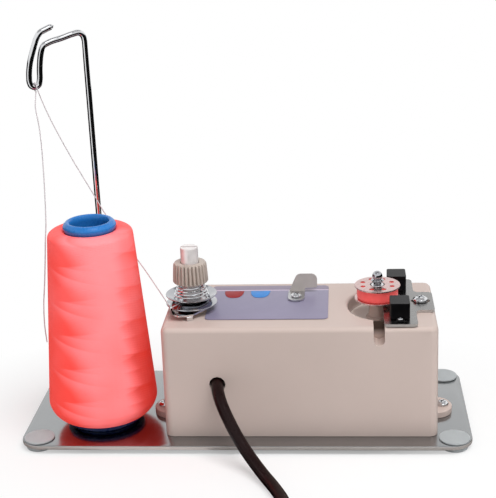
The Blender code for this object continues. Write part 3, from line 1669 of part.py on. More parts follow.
def make_cord(mats):
    """The mains lead's free stretch, its tied coil and its two-pin plug."""
    run = lead_points()
    tube("mains_lead", run, lead_radius, mats["black"], 2)
    coil = coil_points()
    tube("lead_coil", coil, lead_radius, mats["black"], 1)
    gap = least_gap(coil, lead_radius, coil_points_per_turn // 2)
    print(f"lead coil: least gap to itself {gap / mm:.2f} mm")
    make_tie(mats)
    start = coil[-1] - Vector((fit_gap, 0, 0))
    plug_z = plug_half_height + seat_gap
    end = Vector((start.x - tail_length, start.y, plug_z))
    tail = [start, start - Vector((2 * lead_radius, 0, 0)), end + Vector((2 * lead_radius, 0, 0)), end]
    tube("lead_tail", tail, lead_radius, mats["black"], 2)
    total = route_length(run) + route_length(coil) + route_length(tail)
    print(f"mains lead: {total:.3f} m from the power block to the plug")
    front = plug_length - plug_nose_length
    rings = [
        plug_ring(0, plug_neck_radius, plug_neck_radius, plug_neck_radius),
        plug_ring(plug_neck_length, plug_neck_radius, plug_neck_radius, plug_neck_radius),
        plug_ring(plug_neck_length * 1.5, plug_half_width * 0.8, plug_half_height * 0.92, plug_corner),
        plug_ring(plug_neck_length * 2, plug_half_width, plug_half_height, plug_corner),
        plug_ring(front, plug_half_width, plug_half_height, plug_corner),
        plug_ring(front + weld, plug_nose_half_width, plug_nose_half_height, plug_corner),
        plug_ring(plug_length, plug_nose_half_width, plug_nose_half_height, plug_corner),
    ]
    plug = finish_mesh("plug", loft_mesh(rings), mats["black"])
    plug.location = end - Vector((fit_gap, 0, 0))
    for side, name in ((-1, "plug_pin_1"), (1, "plug_pin_2")):
        profile = rod_profile(plug_pin_radius, 0, plug_pin_length, high_chamfer=plug_pin_round)
        pin = lathe(name, profile, mats["steel"], steps=small_steps)
        pin.location = plug.location + Vector((-plug_length - seat_gap, side * plug_pin_spread, 0))
        pin.rotation_euler = (0, -math.pi / 2, 0)


def main():
    clear_scene()
    mats = make_materials()
    make_base(mats)
    make_case(mats)
    make_panel(mats)
    make_cutter(mats)
    make_tension(mats)
    make_stand(mats)
    make_cone(mats)
    make_threads(mats)
    make_sensor(mats)
    make_motor(mats)
    make_bobbin(mats)
    make_electrics(mats)
    make_cord(mats)


main()
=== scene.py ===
"""Finishes and fine detail for a desk-top bobbin winder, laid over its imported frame."""

import json
import math

import bmesh
import bpy
from mathutils import Matrix, Vector
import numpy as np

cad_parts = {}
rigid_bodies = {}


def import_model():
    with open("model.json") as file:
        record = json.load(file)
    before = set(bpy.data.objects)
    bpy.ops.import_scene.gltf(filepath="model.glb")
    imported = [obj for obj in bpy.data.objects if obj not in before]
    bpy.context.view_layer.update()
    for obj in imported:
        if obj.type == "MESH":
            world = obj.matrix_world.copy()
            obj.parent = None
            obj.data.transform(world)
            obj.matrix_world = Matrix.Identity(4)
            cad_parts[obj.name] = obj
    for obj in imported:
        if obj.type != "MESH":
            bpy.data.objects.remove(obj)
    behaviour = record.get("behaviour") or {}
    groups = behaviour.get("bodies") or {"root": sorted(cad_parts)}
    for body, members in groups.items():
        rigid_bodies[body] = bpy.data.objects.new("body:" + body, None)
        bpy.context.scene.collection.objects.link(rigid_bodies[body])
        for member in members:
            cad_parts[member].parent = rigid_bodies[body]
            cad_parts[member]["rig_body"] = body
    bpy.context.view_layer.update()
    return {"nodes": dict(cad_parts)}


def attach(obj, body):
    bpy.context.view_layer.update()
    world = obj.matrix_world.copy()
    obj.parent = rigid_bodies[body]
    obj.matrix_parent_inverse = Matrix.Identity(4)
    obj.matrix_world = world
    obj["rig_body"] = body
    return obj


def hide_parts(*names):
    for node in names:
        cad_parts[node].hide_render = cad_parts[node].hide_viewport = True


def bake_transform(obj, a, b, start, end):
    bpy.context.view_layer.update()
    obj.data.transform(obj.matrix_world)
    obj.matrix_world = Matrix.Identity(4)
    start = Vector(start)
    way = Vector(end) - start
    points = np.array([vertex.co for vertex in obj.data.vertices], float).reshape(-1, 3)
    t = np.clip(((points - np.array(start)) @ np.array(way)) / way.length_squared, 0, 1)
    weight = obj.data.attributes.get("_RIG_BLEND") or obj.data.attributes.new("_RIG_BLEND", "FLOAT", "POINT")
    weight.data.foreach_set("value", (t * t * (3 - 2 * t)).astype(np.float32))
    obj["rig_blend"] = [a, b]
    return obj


bl_info = {
    "name": "Bobbin Winder Finishes",
    "version": (1, 0, 0),
    "blender": (4, 5, 0),
    "location": "3D View > Sidebar > Winder",
    "description": "Dresses the bobbin winder's frame with its finishes, wound thread, wires and lead",
    "category": "Object",
}

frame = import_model()
mm = 0.001

# Places in the frame, in metres
plate_bottom = 2.2 * mm
plate_top = 4.2 * mm
dish_floor = 51.1 * mm
cone_axis = Vector((-68 * mm, -13 * mm, 4.35 * mm))
spindle_axis = Vector((61.7 * mm, -2.4 * mm, 0))
tension_axis = Vector((-24 * mm, -8 * mm, 0))
stud_bore = 4.35 * mm
loop_top = 160.7 * mm
# The keys' straight side, and how far they reach from it to the front
key_back = 14.2 * mm
key_depth = 8.8 * mm
# The stop key and the start key, from left to right
key_places = (-6 * mm, 6.5 * mm)
# Turns about an upright axis, in radians
guide_turn = math.radians(23)
stand_turn = math.radians(55)
# The key lamp's place, and what the lamps shine at
key_lamp_place = Vector((0.25, -0.35, 0.95))
lamp_aim = Vector((0, 0, 0.05))


def linear(code):
    """An sRGB hex colour as linear RGBA."""
    parts = [int(code[i : i + 2], 16) / 255 for i in (0, 2, 4)]
    return (*[p / 12.92 if p <= 0.04045 else ((p + 0.055) / 1.055) ** 2.4 for p in parts], 1.0)


def length_prop(name, description, default):
    """A size in metres that the sidebar shows."""
    return bpy.props.FloatProperty(
        name=name, description=description, default=default, min=0, precision=5, unit="LENGTH"
    )


def colour_prop(name, description, code):
    """A colour that the sidebar shows, given as sRGB hex."""
    return bpy.props.FloatVectorProperty(
        name=name, description=description, default=linear(code), size=4, min=0, max=1, subtype="COLOR"
    )


class WinderSizes(bpy.types.PropertyGroup):
    """Sizes of the dressed pieces."""

    turn_steps: bpy.props.IntProperty(
        name="Turning steps", description="Steps round a turned piece", default=96, min=12
    )
    plate_edge: length_prop("Plate edge round", "Rounding of the base plate's sheared edge", 0.45 * mm)
    plate_corner: length_prop("Plate corner", "Radius of the base plate's corners", 10 * mm)
    wire_radius: length_prop("Stand wire radius", "Radius of the thread stand's wire", 1.4 * mm)
    spring_wire: length_prop("Spring wire radius", "Radius of the tension spring's wire", 0.36 * mm)
    thread_radius: length_prop("Thread radius", "Radius of a single thread", 0.26 * mm)
    lead_radius: length_prop("Lead radius", "Radius of the mains lead", 2.8 * mm)
    wind_band: length_prop("Wound band", "Height of one band of crossed thread on the cone", 16 * mm)
    wind_pitch: length_prop("Wound pitch", "Spacing at which single threads show on the cone", 1.1 * mm)
    rib_depth: length_prop("Nut rib depth", "Depth of the grooves of the tension nut", 1.3 * mm)
    rib_count: bpy.props.IntProperty(
        name="Nut ribs", description="Ribs round the tension nut", default=26, min=6
    )


class WinderColours(bpy.types.PropertyGroup):
    """Colours of the finishes."""

    case: colour_prop("Case", "Moulded case", "cebcb4")
    nut: colour_prop("Nut", "Tension nut", "b8aaa0")
    zinc: colour_prop("Plate", "Zinc-plated base plate", "a0a2a3")
    chrome: colour_prop("Chrome", "Bright chrome plating", "dfe0e2")
    steel: colour_prop("Steel", "Bright zinc-plated steel", "c0c1c2")
    satin: colour_prop("Satin steel", "Satin nickel on pressed plates", "949392")
    foot: colour_prop("Feet", "Clear rubber feet", "bcc1c3")
    film: colour_prop("Panel", "Printed panel film", "8c869f")
    film_band: colour_prop("Panel band", "Band along the panel's back edge", "887d92")
    film_line: colour_prop("Panel line", "Thin line under the band", "e3cde2")
    red: colour_prop("Stop key", "Red key", "951f24")
    blue: colour_prop("Start key", "Blue key", "438ad4")
    # Lit and shaded copies of the one coral, for painted light and painted shade on the cone
    thread: colour_prop("Thread", "Coral thread, bright side", "ff969b")
    thread_shaded: colour_prop("Thread, deep", "Coral thread, deep side", "fb4d44")
    # Painted light: the strand's colour is pale, for the light behind it
    strand: colour_prop("Single thread", "One thread against the light", "c8bfc2")
    core: colour_prop("Cone core", "Blue cone core", "2778c4")
    # The core's colour in painted shade, for its foot under the package and its bore
    core_shaded: colour_prop("Core foot", "Dark foot of the cone core", "193062")
    black: colour_prop("Black plastic", "Sensor blocks, spacer and coil band", "080709")
    # Painted reflection: the black is tinted red, for coral light bounced onto the lead and plug
    cable: colour_prop("Lead", "Mains lead and plug", "1a0909")
    copper: colour_prop("Copper", "Motor winding", "b8693a")
    board: colour_prop("Board", "Circuit board lacquer", "1f5a38")
    floor: colour_prop("Floor", "Studio floor", "fbfbfb")


class StudioSettings(bpy.types.PropertyGroup):
    """Camera and lamps."""

    camera_place: bpy.props.FloatVectorProperty(
        name="Camera place",
        description="Where the camera stands",
        default=(46.96 * mm, -519.18 * mm, 262.38 * mm),
        size=3,
        precision=5,
        unit="LENGTH",
    )
    camera_turn: bpy.props.FloatVectorProperty(
        name="Camera turn",
        description="Turn to the left, tilt down and roll",
        default=(math.radians(4.909), math.radians(18.86), math.radians(-2.266)),
        size=3,
        precision=4,
        unit="ROTATION",
    )
    camera_lens: bpy.props.FloatProperty(
        name="Lens", description="Focal length on a 36 mm wide sensor", default=86.51, min=10
    )
    key_power: bpy.props.FloatProperty(
        name="Key lamp", description="Power of the big soft lamp in watts", default=7.3, min=0
    )
    front_power: bpy.props.FloatProperty(
        name="Front lamp", description="Power of the soft front lamp in watts", default=0.9, min=0
    )
    fill_level: bpy.props.FloatProperty(
        name="Fill", description="Level of the light from all round", default=0.4, min=0
    )


def sizes():
    """The scene's sizes."""
    return bpy.context.scene.winder_sizes


def colours():
    """The scene's colours."""
    return bpy.context.scene.winder_colours


# Materials


def add(tree, kind, values=None, links=None, stops=None, **settings):
    """Adds a shader node with its settings, socket values, ramp stops and links into its sockets."""
    made = tree.nodes.new(kind)
    for name, value in settings.items():
        setattr(made, name, value)
    if stops:
        ramp = made.color_ramp.elements
        while len(ramp) < len(stops):
            ramp.new(1.0)
        for element, (position, colour) in zip(ramp, stops):
            element.position = position
            element.color = colour
    for name, value in (values or {}).items():
        made.inputs[name].default_value = value
    for name, source in (links or {}).items():
        tree.links.new(source, made.inputs[name])
    return made


def start(name, values):
    """A new material, its tree, its surface shader with these values, and the object's coordinates."""
    material = bpy.data.materials.new(name)
    material.use_nodes = True
    tree = material.node_tree
    shader = tree.nodes["Principled BSDF"]
    for socket, value in values.items():
        shader.inputs[socket].default_value = value
    place = add(tree, "ShaderNodeTexCoord").outputs["Object"]
    return material, tree, shader, place


def grain(tree, shader, place, size, detail, stretch=(1, 1, 1), depth=0.0, low=0.3, high=0.4):
    """Noise of a real size that roughens the surface between low and high, and lifts it by depth."""
    placed = add(
        tree,
        "ShaderNodeMapping",
        {"Scale": [1 / size * s for s in stretch]},
        {"Vector": place},
    )
    noise = add(
        tree,
        "ShaderNodeTexNoise",
        {"Scale": 1.0, "Detail": detail, "Roughness": 0.6},
        {"Vector": placed.outputs["Vector"]},
    )
    rough = add(
        tree,
        "ShaderNodeMapRange",
        {"From Min": 0.3, "From Max": 0.7, "To Min": low, "To Max": high},
        {"Value": noise.outputs["Fac"]},
    )
    tree.links.new(rough.outputs["Result"], shader.inputs["Roughness"])
    if depth:
        bump = add(
            tree,
            "ShaderNodeBump",
            {"Strength": 1.0, "Distance": depth},
            {"Height": noise.outputs["Fac"]},
        )
        tree.links.new(bump.outputs["Normal"], shader.inputs["Normal"])
    return noise


def tint(tree, shader, place, colour, size, amount):
    """Slow lighter and darker patches of a real size in the base colour."""
    placed = add(tree, "ShaderNodeMapping", {"Scale": [1 / size] * 3}, {"Vector": place})
    noise = add(
        tree, "ShaderNodeTexNoise", {"Scale": 1.0, "Detail": 3.0}, {"Vector": placed.outputs["Vector"]}
    )
    low = [c * (1 - amount) for c in colour[:3]] + [1]
    high = [min(1, c * (1 + amount)) for c in colour[:3]] + [1]
    mixed = add(
        tree,
        "ShaderNodeValToRGB",
        stops=((0.3, low), (0.7, high)),
        links={"Fac": noise.outputs["Fac"]},
    )
    tree.links.new(mixed.outputs["Color"], shader.inputs["Base Color"])
    return mixed.outputs["Color"]


def moulded_abs():
    """Spark-eroded ABS: a fine even grain breaks the gloss into a soft sheen."""
    material, tree, shader, place = start("moulded_abs", {"IOR": 1.53, "Specular IOR Level": 0.45})
    tint(tree, shader, place, colours().case, 34 * mm, 0.02)
    # Real grain is 0.1 mm, drawn at 0.7 mm so that it shows
    grain(tree, shader, place, 0.7 * mm, 2.0, depth=0.02 * mm, low=0.42, high=0.52)
    return material


def dish_painted_light():
    """The dish's floor: painted light makes it paler than the rest of the case, and it is smoother."""
    material, tree, shader, place = start("dish_painted_light", {"IOR": 1.53})
    tint(tree, shader, place, linear("f6ebe2"), 8 * mm, 0.02)
    grain(tree, shader, place, 0.7 * mm, 2.0, depth=0.01 * mm, low=0.3, high=0.4)
    return material


def shaded_abs():
    """A dark sheet across the slot, as painted shade: deep brown above, where the slot lies in shadow, and
    the case's own colour towards its foot.
    """
    material, tree, shader, place = start("shaded_abs", {"IOR": 1.53, "Specular IOR Level": 0.1})
    brown = tint(tree, shader, place, linear("4a3c35"), 2 * mm, 0.1)
    apart = add(tree, "ShaderNodeSeparateXYZ", links={"Vector": place})
    rise = add(
        tree,
        "ShaderNodeMapRange",
        {"From Min": 50.5 * mm, "From Max": 54 * mm},
        {"Value": apart.outputs["Z"]},
    )
    colour = add(
        tree,
        "ShaderNodeMix",
        {6: colours().case},
        {0: rise.outputs[0], 7: brown},
        data_type="RGBA",
    )
    tree.links.new(colour.outputs[2], shader.inputs["Base Color"])
    grain(tree, shader, place, 0.5 * mm, 2.0, low=0.6, high=0.7)
    return material


def nut_abs():
    """Moulded ABS of the nut, a shade darker and glossier from handling."""
    material, tree, shader, place = start("nut_abs", {"IOR": 1.53})
    tint(tree, shader, place, colours().nut, 6 * mm, 0.05)
    grain(tree, shader, place, 0.5 * mm, 2.0, depth=0.01 * mm, low=0.3, high=0.42)
    return material


def brushed_zinc():
    """Zinc-plated sheet: rolled and brushed along its length, so reflections smear across it."""
    material, tree, shader, place = start(
        "brushed_zinc", {"Metallic": 1.0, "Anisotropic": 0.35, "Anisotropic Rotation": 0.25}
    )
    tint(tree, shader, place, colours().zinc, 22 * mm, 0.035)
    # Brush lines are 0.1 mm wide, drawn at 0.45 mm
    grain(tree, shader, place, 0.45 * mm, 3.0, (0.012, 1, 1), depth=0.003 * mm, low=0.15, high=0.23)
    return material


def bright_chrome():
    """Chrome plating over polished steel: sharp reflections with a trace of handling haze."""
    material, tree, shader, place = start("bright_chrome", {"Metallic": 1.0})
    tint(tree, shader, place, colours().chrome, 9 * mm, 0.02)
    grain(tree, shader, place, 5 * mm, 4.0, low=0.045, high=0.11)
    return material


def polished_steel():
    """Polished bare steel of the tension discs: a mirror, but greyer than chrome."""
    material, tree, shader, place = start("polished_steel", {"Metallic": 1.0})
    tint(tree, shader, place, linear("babbbf"), 5 * mm, 0.06)
    grain(tree, shader, place, 3 * mm, 4.0, low=0.07, high=0.15)
    return material


def bright_steel():
    """Bright zinc plating on turned and pressed steel: soft-edged reflections and faint tool marks."""
    material, tree, shader, place = start("bright_steel", {"Metallic": 1.0})
    tint(tree, shader, place, colours().steel, 8 * mm, 0.04)
    grain(tree, shader, place, 0.4 * mm, 3.0, (1, 1, 0.3), depth=0.003 * mm, low=0.24, high=0.36)
    return material


def satin_steel():
    """Satin nickel on pressed steel: a dull grey that still clears towards the light."""
    material, tree, shader, place = start("satin_steel", {"Metallic": 1.0})
    tint(tree, shader, place, colours().satin, 7 * mm, 0.04)
    grain(tree, shader, place, 0.4 * mm, 3.0, (0.05, 1, 1), depth=0.003 * mm, low=0.2, high=0.3)
    return material


def matt_nickel():
    """Bead-blasted nickel: no mirror left, only a dull warm grey."""
    material, tree, shader, place = start("matt_nickel", {"Metallic": 0.4})
    tint(tree, shader, place, linear("c2bbb7"), 5 * mm, 0.04)
    grain(tree, shader, place, 0.5 * mm, 2.0, depth=0.005 * mm, low=0.48, high=0.6)
    return material


def pale_alloy():
    """Turned aluminium, clouded by its oxide: fine rings and a soft pale glow instead of a mirror."""
    material, tree, shader, place = start("pale_alloy", {"Metallic": 0.3})
    tint(tree, shader, place, linear("f0ebea"), 3 * mm, 0.05)
    grain(tree, shader, place, 0.4 * mm, 3.0, (0.2, 0.2, 1), depth=0.01 * mm, low=0.3, high=0.46)
    return material


def stamped_steel():
    """Tinned bobbin steel: satin, with a painted reflection of the thread tinting it pink."""
    material, tree, shader, place = start("stamped_steel", {"Metallic": 1.0})
    tint(tree, shader, place, linear("d8bcb9"), 1.2 * mm, 0.16)
    grain(tree, shader, place, 1.2 * mm, 3.0, depth=0.01 * mm, low=0.2, high=0.34)
    return material


def clear_rubber():
    """Clear moulded rubber: light passes and scatters, so the plate shows through as a haze."""
    material, tree, shader, place = start(
        "clear_rubber",
        {"IOR": 1.45, "Transmission Weight": 0.2, "Specular IOR Level": 0.4},
    )
    tint(tree, shader, place, colours().foot, 4 * mm, 0.03)
    grain(tree, shader, place, 3 * mm, 2.0, low=0.32, high=0.42)
    return material


def printed_film():
    """Screen-printed polycarbonate film: flat inks under a satin face."""
    material, tree, shader, place = start("printed_film", {"IOR": 1.58, "Specular IOR Level": 0.3})
    colour = tint(tree, shader, place, colours().film, 18 * mm, 0.05)
    apart = add(tree, "ShaderNodeSeparateXYZ", links={"Vector": place})
    # Each ink lies this far to either side of its middle, measured from front to back
    inks = ((colours().film_band, 20.4 * mm, 5 * mm), (colours().film_line, 15.4 * mm, 0.34 * mm))
    for ink, middle, half in inks:
        stripe = add(
            tree,
            "ShaderNodeMath",
            {1: middle, 2: half},
            {0: apart.outputs["Y"]},
            operation="COMPARE",
        )
        printed = add(
            tree,
            "ShaderNodeMix",
            {7: ink},
            {0: stripe.outputs[0], 6: colour},
            data_type="RGBA",
        )
        colour = printed.outputs[2]
    tree.links.new(colour, shader.inputs["Base Color"])
    grain(tree, shader, place, 1 * mm, 2.0, depth=0.004 * mm, low=0.3, high=0.38)
    return material


def key_plastic(name, colour):
    """Dyed key cap: an even colour with a soft shine."""
    material, tree, shader, place = start(name, {"IOR": 1.5, "Specular IOR Level": 0.14})
    tint(tree, shader, place, colour, 3 * mm, 0.08)
    grain(tree, shader, place, 0.6 * mm, 2.0, depth=0.01 * mm, low=0.3, high=0.42)
    return material


def red_key():
    """Red key cap."""
    return key_plastic("red_key_cap", colours().red)


def blue_key():
    """Blue key cap."""
    return key_plastic("blue_key_cap", colours().blue)


def black_plastic():
    """Glass-filled black plastic: matt, greyer where light grazes its grain."""
    material, tree, shader, place = start("black_plastic", {"IOR": 1.5, "Specular IOR Level": 0.24})
    tint(tree, shader, place, colours().black, 5 * mm, 0.12)
    grain(tree, shader, place, 0.5 * mm, 3.0, depth=0.02 * mm, low=0.34, high=0.5)
    return material


def pvc_lead():
    """Black PVC sleeving: smooth, slightly waxy, with a long soft highlight."""
    material, tree, shader, place = start("pvc_lead", {"IOR": 1.52, "Specular IOR Level": 0.16})
    # The red tint in its black is a painted reflection of the coral thread
    tint(tree, shader, place, colours().cable, 12 * mm, 0.12)
    grain(tree, shader, place, 0.8 * mm, 2.0, depth=0.01 * mm, low=0.26, high=0.36)
    return material


def wound_bands(tree, turn, rows):
    """Three sets of bands that climb round the cone, each band brightening towards its upper edge."""
    black = (0, 0, 0, 1)
    white = (1, 1, 1, 1)
    brightening = ((0.0, black), (0.35, (0.1, 0.1, 0.1, 1)), (0.95, white), (1.0, black))
    shade = None
    # Each pair is how far a band climbs in one turn, in bands, and where it starts
    for climb, begin in ((1.0, 0.1), (-1.0, 0.45), (2.0, 0.7)):
        slant = add(tree, "ShaderNodeMath", {1: climb}, {0: turn, 2: rows}, operation="MULTIPLY_ADD")
        moved = add(tree, "ShaderNodeMath", {1: begin}, {0: slant.outputs[0]}, operation="ADD")
        saw = add(tree, "ShaderNodeMath", links={0: moved.outputs[0]}, operation="FRACT")
        band = add(tree, "ShaderNodeValToRGB", stops=brightening, links={"Fac": saw.outputs[0]})
        if shade is None:
            shade = band.outputs["Color"]
            continue
        both = add(
            tree, "ShaderNodeMix", {0: 0.45}, {6: shade, 7: band.outputs["Color"]}, data_type="RGBA"
        )
        shade = both.outputs[2]
    return shade


def crossed_threads(tree, shader, turn, height):
    """Fine threads that cross each other round the cone, as relief."""
    fine = add(tree, "ShaderNodeMath", {1: sizes().wind_pitch}, {0: height}, operation="DIVIDE")
    waves = []
    # A single thread is 0.3 mm, drawn at the wound pitch so that its lines show
    for climb in (32.0, -32.0):
        slant = add(
            tree,
            "ShaderNodeMath",
            {1: climb},
            {0: turn, 2: fine.outputs[0]},
            operation="MULTIPLY_ADD",
        )
        phase = add(tree, "ShaderNodeMath", {1: math.tau}, {0: slant.outputs[0]}, operation="MULTIPLY")
        waves.append(add(tree, "ShaderNodeMath", links={0: phase.outputs[0]}, operation="SINE"))
    crossed = add(
        tree,
        "ShaderNodeMath",
        links={0: waves[0].outputs[0], 1: waves[1].outputs[0]},
        operation="MAXIMUM",
    )
    bump = add(
        tree,
        "ShaderNodeBump",
        {"Strength": 0.7, "Distance": 0.05 * mm},
        {"Height": crossed.outputs[0]},
    )
    tree.links.new(bump.outputs["Normal"], shader.inputs["Normal"])


def wound_shell():
    """Neon polyester wound crosswise on a cone, with a painted highlight that shifts from band to band,
    painted shade on the side towards the case and a painted glow.
    """
    material, tree, shader, place = start(
        "wound_shell",
        {"Roughness": 0.6, "Sheen Weight": 0.06, "Sheen Roughness": 0.4, "Specular IOR Level": 0.3},
    )
    shader.inputs["Sheen Tint"].default_value = linear("ffc0c4")
    centred = add(tree, "ShaderNodeMapping", {"Location": -cone_axis}, {"Vector": place})
    apart = add(tree, "ShaderNodeSeparateXYZ", links={"Vector": centred.outputs[0]})
    angle = add(
        tree,
        "ShaderNodeMath",
        links={0: apart.outputs["Y"], 1: apart.outputs["X"]},
        operation="ARCTAN2",
    )
    turn = add(tree, "ShaderNodeMath", {1: math.tau}, {0: angle.outputs[0]}, operation="DIVIDE")
    rows = add(
        tree,
        "ShaderNodeMath",
        {1: sizes().wind_band},
        {0: apart.outputs["Z"]},
        operation="DIVIDE",
    )
    shade = wound_bands(tree, turn.outputs[0], rows.outputs[0])
    # Painted highlight: a lighter stripe is painted on the front and right of the cone; filaments lie at a
    # slant, so each band's stripe sits a little to one side of the next band's
    swing = add(tree, "ShaderNodeMath", {1: 0.9, 2: 0.68}, {0: shade}, operation="MULTIPLY_ADD")
    aside = add(
        tree, "ShaderNodeMath", links={0: angle.outputs[0], 1: swing.outputs[0]}, operation="ADD"
    )
    towards = add(tree, "ShaderNodeMath", links={0: aside.outputs[0]}, operation="COSINE")
    sheen = add(
        tree,
        "ShaderNodeMapRange",
        {"From Min": 0.35, "From Max": 1.0, "To Min": -0.05, "To Max": 0.72},
        {"Value": towards.outputs[0]},
        interpolation_type="SMOOTHSTEP",
    )
    patches = add(tree, "ShaderNodeMapping", {"Scale": [1 / (16 * mm)] * 3}, {"Vector": place})
    uneven = add(
        tree, "ShaderNodeTexNoise", {"Scale": 1.0, "Detail": 1.0}, {"Vector": patches.outputs[0]}
    )
    level = add(
        tree,
        "ShaderNodeMath",
        {1: 0.55},
        {0: uneven.outputs["Fac"], 2: sheen.outputs[0]},
        operation="MULTIPLY_ADD",
    )
    # Painted light: the package is painted a little paler towards its top and darker low down
    paler = add(
        tree, "ShaderNodeMath", {1: 0.05, 2: -0.28}, {0: rows.outputs[0]}, operation="MULTIPLY_ADD"
    )
    level = add(
        tree,
        "ShaderNodeMath",
        links={0: level.outputs[0], 1: paler.outputs[0]},
        operation="ADD",
        use_clamp=True,
    )
    # Painted light and shade: the lit and shaded corals are mixed by random patches, the painted highlight
    # and the paler top
    colour = add(
        tree,
        "ShaderNodeMix",
        {6: colours().thread_shaded, 7: colours().thread},
        {0: level.outputs[0]},
        data_type="RGBA",
    )
    # Painted shade: the side towards the case is painted a darker orange-red, with a ragged edge and most of
    # all low down, where the case keeps light off it
    ragged = add(
        tree, "ShaderNodeMath", {1: 0.35}, {0: shade, 2: angle.outputs[0]}, operation="MULTIPLY_ADD"
    )
    facing = add(tree, "ShaderNodeMath", links={0: ragged.outputs[0]}, operation="COSINE")
    inner_side = add(
        tree,
        "ShaderNodeMapRange",
        {"From Min": 0.7, "From Max": 0.95, "To Min": 0.0, "To Max": 0.78},
        {"Value": facing.outputs[0]},
        interpolation_type="SMOOTHSTEP",
    )
    low_down = add(
        tree,
        "ShaderNodeMapRange",
        {"From Min": 95 * mm, "From Max": 40 * mm, "To Min": 0.15, "To Max": 1.0},
        {"Value": apart.outputs["Z"]},
    )
    case_side_shade = add(
        tree,
        "ShaderNodeMath",
        links={0: inner_side.outputs[0], 1: low_down.outputs[0]},
        operation="MULTIPLY",
    )
    colour = add(
        tree,
        "ShaderNodeMix",
        {7: linear("ae240c")},
        {0: case_side_shade.outputs[0], 6: colour.outputs[2]},
        data_type="RGBA",
    )
    tree.links.new(colour.outputs[2], shader.inputs["Base Color"])
    # Painted glow: the thread gives off a steady red light of its own, standing in for the neon dye that
    # gives back more red than falls on it
    shader.inputs["Emission Color"].default_value = linear("ff3a30")
    shader.inputs["Emission Strength"].default_value = 0.3
    crossed_threads(tree, shader, turn.outputs[0], apart.outputs["Z"])
    return material


def level_wound():
    """The same thread wound level on the bobbin: close rings, one above the other."""
    material, tree, shader, place = start(
        "level_wound", {"Roughness": 0.55, "Sheen Weight": 0.3, "Sheen Roughness": 0.4}
    )
    dye_and_glow = tint(tree, shader, place, linear("ff5e5c"), 2.5 * mm, 0.1)
    # Painted glow: the thread's own colour also gives off a steady light, for its neon dye
    tree.links.new(dye_and_glow, shader.inputs["Emission Color"])
    shader.inputs["Emission Strength"].default_value = 0.22
    # Rings of 0.3 mm thread, drawn 0.6 mm apart; a wave's own scale is counted in turns of pi
    placed = add(tree, "ShaderNodeMapping", {"Scale": (60, 60, 1 / (0.6 * mm))}, {"Vector": place})
    rings = add(
        tree,
        "ShaderNodeTexWave",
        {"Scale": 1.0 / 3.14, "Distortion": 0.6, "Detail": 1.0},
        {"Vector": placed.outputs[0]},
        bands_direction="Z",
    )
    bump = add(
        tree, "ShaderNodeBump", {"Strength": 0.8, "Distance": 0.08 * mm}, {"Height": rings.outputs["Fac"]}
    )
    tree.links.new(bump.outputs["Normal"], shader.inputs["Normal"])
    return material


def single_thread():
    """One strand of spun polyester: its coral is painted a pale grey-pink, as painted light for the light
    behind it, which bleaches so thin a strand.
    """
    material, tree, shader, place = start("single_thread", {"Roughness": 0.6, "Sheen Weight": 0.4})
    tint(tree, shader, place, colours().strand, 2 * mm, 0.1)
    return material


def moulded_core():
    """Dyed polypropylene: waxy gloss, with painted shade darkening the foot where it turns under the
    package, and the bore.
    """
    material, tree, shader, place = start("moulded_core", {"IOR": 1.49, "Specular IOR Level": 0.45})
    centred = add(
        tree,
        "ShaderNodeMapping",
        {"Location": -cone_axis, "Scale": (1, 1, 0)},
        {"Vector": place},
    )
    apart = add(tree, "ShaderNodeSeparateXYZ", links={"Vector": place})
    height = add(
        tree,
        "ShaderNodeMapRange",
        {"From Min": cone_axis.z + 5 * mm, "From Max": cone_axis.z + 14 * mm},
        {"Value": apart.outputs["Z"]},
    )
    # Painted shade: the bore is painted as dark as the foot, and the rim is the full blue
    reach = add(tree, "ShaderNodeVectorMath", links={0: centred.outputs[0]}, operation="LENGTH")
    rim = add(
        tree,
        "ShaderNodeMapRange",
        {"From Min": 8.2 * mm, "From Max": 9.8 * mm, "To Min": 0.12},
        {"Value": reach.outputs["Value"]},
    )
    share = add(
        tree,
        "ShaderNodeMath",
        links={0: height.outputs[0], 1: rim.outputs[0]},
        operation="MULTIPLY",
    )
    colour = add(
        tree,
        "ShaderNodeMix",
        {6: colours().core_shaded, 7: colours().core},
        {0: share.outputs[0]},
        data_type="RGBA",
    )
    tree.links.new(colour.outputs[2], shader.inputs["Base Color"])
    grain(tree, shader, place, 2 * mm, 3.0, depth=0.02 * mm, low=0.24, high=0.32)
    return material


def lacquered_board():
    """Glass-fibre board under green lacquer."""
    material, tree, shader, place = start("lacquered_board", {"IOR": 1.55, "Coat Weight": 0.5})
    tint(tree, shader, place, colours().board, 3 * mm, 0.15)
    grain(tree, shader, place, 0.8 * mm, 2.0, depth=0.01 * mm, low=0.25, high=0.4)
    return material


def enamelled_copper():
    """Enamelled copper winding on the rotor: bright lines along the wire."""
    material, tree, shader, place = start("enamelled_copper", {"Metallic": 1.0})
    tint(tree, shader, place, colours().copper, 4 * mm, 0.12)
    grain(tree, shader, place, 0.5 * mm, 2.0, (1, 1, 0.05), depth=0.05 * mm, low=0.25, high=0.4)
    return material


finishes = {
    "beige": moulded_abs,
    "dish": dish_painted_light,
    "shade": shaded_abs,
    "nut": nut_abs,
    "zinc": brushed_zinc,
    "chrome": bright_chrome,
    "polished": polished_steel,
    "steel": bright_steel,
    "satin": satin_steel,
    "matt": matt_nickel,
    "alloy": pale_alloy,
    "bobbin": stamped_steel,
    "rubber": clear_rubber,
    "film": printed_film,
    "red": red_key,
    "blue": blue_key,
    "black": black_plastic,
    "lead": pvc_lead,
    "wound": wound_shell,
    "level": level_wound,
    "strand": single_thread,
    "core": moulded_core,
    "board": lacquered_board,
    "copper": enamelled_copper,
}
made_finishes = {}


def finish(name):
    """The finish of that name, made once."""
    if name not in made_finishes:
        made_finishes[name] = finishes[name]()
    return made_finishes[name]


# Shapes


